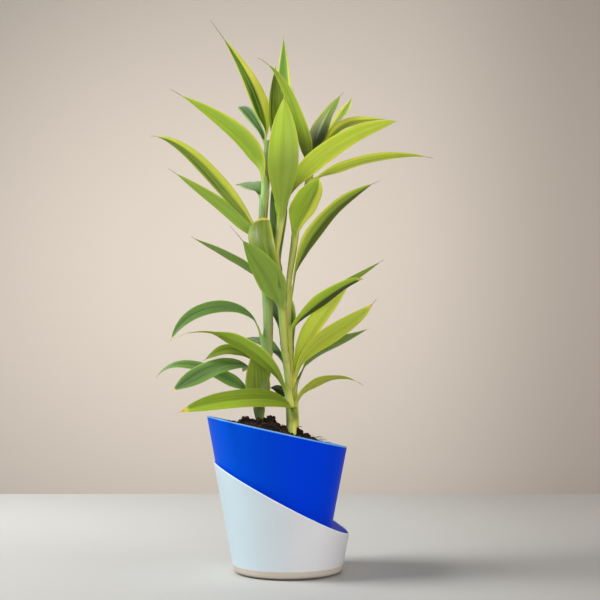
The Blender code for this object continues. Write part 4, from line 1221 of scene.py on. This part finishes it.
def leaf_frame(cane, leaf, settings):
    """Rows of a leaf from the foot of its sheath to its tip. The rows of the sheath stand off the cane's
    middle line, and those of the blade follow its midrib.

    Gives t, which is below 0 on the sheath, a share that is -1 at the sheath's foot and 0 from its top on,
    the middle line, the directions across the leaf and out of its upper face, and the sheath's radius."""
    t = np.linspace(0, 1, settings.rows)
    t = t + LEAF_ROW_CROWDING * (t * (1 - t)) * (t - 0.5)
    path, side, out = leaf_midrib(leaf, leaf_start(cane, leaf), t)
    wrap = sheath_length(cane, leaf)
    down = np.linspace(-1, 0, SHEATH_ROWS + 1)[:-1]
    heights = leaf.height + wrap * down
    centre, rising = on_cane(cane, heights)
    stand_off = settings.sheath / MM
    top = cane_radius(cane, np.array([float(leaf.height)]))[0] + stand_off
    ring = (cane_radius(cane, heights) + SHEATH_STANDS_OFF
            + (stand_off - SHEATH_STANDS_OFF) * ease(-1, 0, down))
    stuck = square(np.broadcast_to(out, centre.shape), rising)
    lean_out = 1 - ease(0, LEAF_LEAVES_OVER, t)
    path = np.concatenate([centre + ring[:, None] * stuck, path + lean_out[:, None] * top * out])
    side = np.concatenate([np.cross(rising, stuck), side])
    ring = np.concatenate([ring, np.full(settings.rows, top)])
    t = np.concatenate([down * wrap / SHEATH_SCALE, t])

    # The row where the sheath turns into the blade is rounded off by averaging neighbours
    bend = np.exp(-(t / SMOOTHING_SPREAD) ** 2)[:, None]
    for _ in range(SMOOTHING_PASSES):
        near = np.stack([np.convolve(np.pad(path[:, k], 2, mode="edge"), SMOOTHING, "valid")
                         for k in range(3)], axis=-1)
        near[:2], near[-2:] = path[:2], path[-2:]
        path = path + bend * (near - path)
    along = unit(np.gradient(path, axis=0))
    side = square(side, along)
    upper = np.cross(along, side)
    twist = leaf.twist * ease(LEAF_TWIST_FROM, LEAF_TWIST_TO, t)
    roll = np.radians(leaf.roll * ease(0, LEAF_ROLLS_OVER, t) + twist)[:, None]
    side, upper = np.cos(roll) * side + np.sin(roll) * upper, np.cos(roll) * upper - np.sin(roll) * side
    return t, np.concatenate([down, np.zeros(settings.rows)]), path, side, upper, ring


def leaf_section(leaf, settings, rng, u, t, sheath, ring):
    """Section of a leaf at each row and each share u from the midrib to its edges: how far each point lies
    across and over the midrib, and the thickness over and under it.

    Over the cane the section is an arc of half-angle b round it, x = w sin(b u) / b and
    lift = w (1 - cos(b u)) / b. Further out b falls to nothing, and the section is a keel with arched halves,
    lift = w (k |u| - a u^2), with ripples that grow towards the margins."""
    blade_half = leaf_width(leaf, np.clip(t, 0, 1)) / 2
    clasp = max(SHEATH_CLASP * ring[-1] - blade_half[SHEATH_ROWS], 0)
    blade_half = blade_half + clasp * (1 - ease(0, LEAF_NARROWS_OVER, t))
    opened = ease(SHEATH_OPENS_FROM, 0, sheath)
    half_turn = blade_half / ring
    half_turn = np.where(t < 0, SHEATH_HALF_TURN + (half_turn - SHEATH_HALF_TURN) * opened, half_turn)
    w = np.where(t < 0, half_turn * ring, blade_half)[:, None]
    bent = np.maximum(half_turn * (1 - ease(0, LEAF_FLATTENS_OVER, t)), 1e-4)[:, None]
    keel = settings.keel * ease(0, LEAF_KEEL_OVER, t)[:, None]
    arch = settings.arch * ease(0, LEAF_FLATTENS_OVER, t)[:, None]
    folded = keel * (np.sqrt(u ** 2 + KEEL_ROUND) - KEEL_ROUND_ROOT) - arch * u ** 2
    phase = rng.uniform(0, 2 * np.pi, 2)
    waves = rng.uniform(*RIPPLE_WAVES, 2)
    ripple = np.where(u > 0, *(np.sin(2 * np.pi * waves[k] * t[:, None] + phase[k]) for k in (0, 1)))
    ripple = leaf.wave * ripple * np.abs(u) ** 1.8 * ease(0.05, 0.3, t)[:, None]
    x = w * np.sin(bent * u) / bent * (1 - LEAF_NARROWED * ease(0, LEAF_KEEL_OVER, t)[:, None])
    lift = w * (1 - np.cos(bent * u)) / bent + w * (folded + ripple)
    thin = (1 - TIP_THINS * ease(0.8, 1, t)) * (1 - SHEATH_FOOT_THINS * (1 - ease(-1, -0.4, sheath)))
    skin = settings.thickness / MM / 2 * (1 - EDGE_THINS * np.abs(u) ** 3) * thin[:, None]
    along = (ease(-0.02, 0.1, t) * (1 - ease(0.7, 1, t)))[:, None]
    return x, lift, skin, skin + MIDRIB_HEIGHT * np.exp(-(w * u / MIDRIB_WIDTH) ** 2) * along


def leaf_colours(cane, leaf, t, path, across, normal):
    """Attributes "look", "trait" and "thread" of a leaf's points, as its material reads them. Over the sheath
    they run into those of the cane. The brightness in "look" holds painted light and shade: on one half, at
    the foot and, from the cane, on the sheath."""
    shown, size = leaf.look, (len(t), len(across))
    rows = t[:, None]
    spread = np.broadcast_to(across, size)
    # Painted shade on one half of the blade, split at the midrib
    shaded = 1 - abs(shown.half) * ease(-0.1, 0.12, spread * np.sign(shown.half))
    # Painted shade at the blade's foot, growing to full brightness at until; where base is over 1 it paints
    # light instead
    painted_base_light = shown.base + (1 - shown.base) * ease(shown.until - 0.3, shown.until, rows)
    painted_base_light = 1 + (painted_base_light - 1) * ease(-0.05, 0.03, rows)
    rightwards = -normal[..., 0]
    # Painted light and shade on the sheath: the cane's side brightness times the leaf's clasp
    stem_light = shown.clasp * side_light(cane, rightwards, path[:, 2:])
    light = stem_light + (shown.light * shaded * painted_base_light - stem_light) * ease(-0.03, 0.08, rows)
    stem = 1 - coolness(cane, rightwards)
    warm = stem + (shown.warm - stem) * ease(-0.02, 0.1, rows)
    dryness = ease(1 - 0.16 * shown.dry, 1 - 0.05 * shown.dry, rows) * (1 if shown.dry else 0)
    thread = ease(0.985 - leaf.thread, 1.015 - leaf.thread, t) * (1 if leaf.thread > 0.02 else 0)
    margin = np.where(spread > 0, shown.high, shown.low)
    look = np.stack([np.full(size, shown.stripe), margin, light], axis=-1)
    trait = np.stack([warm, np.broadcast_to(dryness, size), np.abs(spread)], axis=-1)
    return {"look": look.reshape(-1, 3), "trait": trait.reshape(-1, 3),
            "thread": np.repeat(thread, len(across))}


def leaf_mesh(name, cane, leaf, index, settings):
    """A blade with its sheath, as one closed sheet of rows along the leaf and points across it. The thickness
    is laid off square to the middle sheet, whose normal is the cross product of its two directions."""
    t, sheath, path, side, upper, ring = leaf_frame(cane, leaf, settings)
    u = np.sin(np.linspace(-np.pi / 2, np.pi / 2, settings.columns))
    rng = np.random.default_rng(RIPPLE_SEED + index)
    x, lift, over, under = leaf_section(leaf, settings, rng, u, t, sheath, ring)
    middle = path[:, None] + x[..., None] * side[:, None] + lift[..., None] * upper[:, None]
    normal = unit(np.cross(np.gradient(middle, axis=0), np.gradient(middle, axis=1)))
    loop = np.concatenate([middle + normal * over[..., None], (middle - normal * under[..., None])[:, ::-1]],
                          axis=1)
    rows, columns = loop.shape[:2]
    c = np.arange(settings.columns - 1)
    first = np.stack([c, c + 1, columns - 2 - c, columns - 1 - c], axis=-1)
    faces = np.concatenate([grid_quads(rows, columns, True), first[:, ::-1], first + (rows - 1) * columns])

    across = np.concatenate([u, u[::-1]])
    size = (rows, columns)
    distance = np.concatenate([[0], np.cumsum(np.linalg.norm(np.diff(path, axis=0), axis=1))]) / STREAK_UNIT
    uv = np.stack([np.broadcast_to(across, size), np.broadcast_to(distance[:, None] + index, size)], axis=-1)
    upper_face = np.repeat([1.0, 0.0], settings.columns)
    place = np.stack([np.broadcast_to(values, size) for values in (across + leaf.look.lean, t[:, None],
                                                                   upper_face)], axis=-1)
    colours = leaf_colours(cane, leaf, t, path, across, np.concatenate([normal, normal[:, ::-1]], axis=1))
    return make_mesh(name, loop * MM, faces, uv=uv, attributes={"place": place.reshape(-1, 3), **colours})


# Stage

def box_mesh(name, low, high):
    """A plain box between two corners."""
    bm = bmesh.new()
    bmesh.ops.create_cube(bm, size=1.0)
    middle, span = (Vector(low) + Vector(high)) / 2, Vector(high) - Vector(low)
    bmesh.ops.scale(bm, verts=bm.verts, vec=span)
    bmesh.ops.translate(bm, verts=bm.verts, vec=middle)
    mesh = bpy.data.meshes.new(name)
    bm.to_mesh(mesh)
    bm.free()
    return mesh


def stage_material(name, first, second, low, high, near, roughness):
    """Two colours that blend from one place along X to another, as painted light and shade, and the share of
    them that is left in front, as painted shade towards the front."""
    material, tree, shader = new_material(name)
    x, y, z = tree.split(tree.place())
    colour = tree.mix(tree.step(x, low, high), first, second)
    tree.put(shader, {"Base Color": tree.scale(colour, tree.step(y, -0.15, 0.45, near, 1.0)),
                      "Roughness": roughness})
    return material


def add_stage_object(name, low, high, material):
    link(bpy.data.objects.new(name, box_mesh(name, low, high)), material)


def add_area_light(name, at, towards, size, colour, power):
    data = bpy.data.lights.new(name, "AREA")
    data.shape = "RECTANGLE"
    data.size, data.size_y = size
    data.energy = power
    data.color = colour
    light = link(bpy.data.objects.new(name, data))
    light.location = at
    light.rotation_euler = (Vector(towards) - Vector(at)).to_track_quat("-Z", "Y").to_euler()


def add_camera():
    data = bpy.data.cameras.new("Camera")
    data.lens = CAMERA_LENS
    data.sensor_width = CAMERA_SENSOR
    camera = link(bpy.data.objects.new("Camera", data))
    camera.location = CAMERA_AT
    camera.rotation_euler = (math.radians(90 + CAMERA_PITCH), 0, 0)
    bpy.context.scene.camera = camera


# Operators

class BAMBOO_OT_outer_cup(bpy.types.Operator):
    """Builds the white outer cup with its rounded foot and slanted rim"""

    bl_idname = "bamboo.outer_cup"
    bl_label = "Outer cup"

    def execute(self, context):
        planter = context.scene.bamboo_planter
        # The cup's colours paint the pot's blue through its wall, a highlight on its rim, the pot's blue
        # reflection inside and shade with the table's warm reflection on its foot
        material = plastic_material("White plastic", planter.cup_painted_pot_blue, planter.cup_colour, -55 * MM,
                                    30 * MM, planter.cup_rim_highlight, planter.cup_inside_reflection, planter.cup_foot_shade, 8 * MM,
                                    planter.cup_roughness, 0.4)
        add_piece("outer_cup_shell", cup_mesh(planter.wall), material, "outer_cup", "outer_cup")
        return {"FINISHED"}


class BAMBOO_OT_inner_pot(bpy.types.Operator):
    """Builds the blue inner pot with its foot ring, drain holes and slanted rim"""

    bl_idname = "bamboo.inner_pot"
    bl_label = "Inner pot"

    def execute(self, context):
        planter = context.scene.bamboo_planter
        # The pot's colours paint shade towards its right, inside and on its foot, and a highlight along its
        # rim
        material = plastic_material("Blue plastic", planter.pot_colour, planter.pot_shaded, -60 * MM, 20 * MM,
                                    planter.pot_rim, planter.pot_shaded, planter.pot_shaded, POT_BOTTOM,
                                    planter.pot_roughness, 0.02)
        pot = add_piece("inner_pot_shell", pot_mesh(planter.wall), material, "inner_pot", "inner_pot")
        cut(pot, pot_cutter())
        mark_pot(pot.data, planter.wall)
        return {"FINISHED"}


class BAMBOO_OT_soil(bpy.types.Operator):
    """Builds the soil heap with its crumbs and coir fibres"""

    bl_idname = "bamboo.soil"
    bl_label = "Soil"

    def execute(self, context):
        soil = context.scene.bamboo_soil
        size = (context.scene.bamboo_planter.wall, soil.relief)
        crumbs = soil_material("Soil crumbs", soil, 1.0)
        add_piece("soil_heap", soil_mesh(*size), soil_material("Soil", soil, 0.6), "soil", "soil")
        add_piece("soil_crumbs", crumb_mesh(soil.crumbs, *size), crumbs, "soil")
        add_piece("soil_fibres", fibre_mesh(soil.fibres, *size), fibre_material(soil), "soil")
        return {"FINISHED"}


class BAMBOO_OT_canes(bpy.types.Operator):
    """Builds the three canes with their ring scars"""

    bl_idname = "bamboo.canes"
    bl_label = "Canes"

    def execute(self, context):
        settings = context.scene.bamboo_cane
        material = cane_material(settings)
        for cane in CANES:
            add_piece(cane.name + "_stem", cane_mesh(cane, settings), material, "leafy_cane", cane.name)
        return {"FINISHED"}


class BAMBOO_OT_leaves(bpy.types.Operator):
    """Builds every leaf with the sheath that holds it to its cane"""

    bl_idname = "bamboo.leaves"
    bl_label = "Leaves"

    def execute(self, context):
        settings = context.scene.bamboo_leaf
        material = leaf_material(settings)
        index = 0
        for cane in CANES:
            for number, leaf in enumerate(LEAVES[cane.name]):
                name = f"{cane.name}_leaf_{number + 1:02d}"
                mesh = leaf_mesh(name, cane, leaf, index, settings)
                add_piece(name, mesh, material, "leafy_cane", cane.name)
                index += 1
        return {"FINISHED"}


class BAMBOO_OT_stage(bpy.types.Operator):
    """Sets the pale table, the backdrop, the soft lights and the camera"""

    bl_idname = "bamboo.stage"
    bl_label = "Stage"

    def execute(self, context):
        stage = context.scene.bamboo_stage
        # The table is painted darker towards the right and towards the front
        add_stage_object("table", TABLE_LOW, TABLE_HIGH,
                         stage_material("Table", stage.table, stage.table_shaded, 0.05, 0.4, 0.8, 0.6))
        # The backdrop is painted darker towards the right
        add_stage_object("backdrop", WALL_LOW, WALL_HIGH,
                         stage_material("Backdrop", stage.wall_light, stage.wall_shaded, 0.3, 0.9, 1.0, 0.9))
        for light in LIGHTS:
            add_area_light(*light, getattr(stage, light[0].lower()))
        world = bpy.data.worlds.new("Studio")
        world.use_nodes = True
        background = world.node_tree.nodes["Background"]
        background.inputs["Color"].default_value = SKY_COLOUR
        background.inputs["Strength"].default_value = stage.sky
        context.scene.world = world
        context.scene.view_settings.view_transform = "Standard"
        add_camera()
        return {"FINISHED"}


class BAMBOO_PT_panel(bpy.types.Panel):
    """Lists the steps that build the plant"""

    bl_idname = "BAMBOO_PT_panel"
    bl_label = "Lucky bamboo"
    bl_space_type = "VIEW_3D"
    bl_region_type = "UI"
    bl_category = "Lucky bamboo"

    def draw(self, context):
        for operator in OPERATORS:
            self.layout.operator(operator.bl_idname)
        for name in SETTINGS:
            box = self.layout.box()
            group = getattr(context.scene, name)
            for prop in group.bl_rna.properties.keys():
                if prop not in ("rna_type", "name"):
                    box.prop(group, prop)


OPERATORS = (BAMBOO_OT_outer_cup, BAMBOO_OT_inner_pot, BAMBOO_OT_soil, BAMBOO_OT_canes, BAMBOO_OT_leaves,
             BAMBOO_OT_stage)
SETTINGS = {"bamboo_planter": PlanterSettings, "bamboo_soil": SoilSettings, "bamboo_cane": CaneSettings,
            "bamboo_leaf": LeafSettings, "bamboo_stage": StageSettings}


def register():
    for name, group in SETTINGS.items():
        bpy.utils.register_class(group)
        setattr(bpy.types.Scene, name, bpy.props.PointerProperty(type=group))
    for cls in (*OPERATORS, BAMBOO_PT_panel):
        bpy.utils.register_class(cls)


def unregister():
    for cls in (BAMBOO_PT_panel, *reversed(OPERATORS)):
        bpy.utils.unregister_class(cls)
    for name, group in SETTINGS.items():
        delattr(bpy.types.Scene, name)
        bpy.utils.unregister_class(group)


def main():
    register()
    bpy.ops.bamboo.outer_cup()
    bpy.ops.bamboo.inner_pot()
    bpy.ops.bamboo.soil()
    bpy.ops.bamboo.canes()
    bpy.ops.bamboo.leaves()
    bpy.ops.bamboo.stage()


if __name__ == "__main__":
    main()
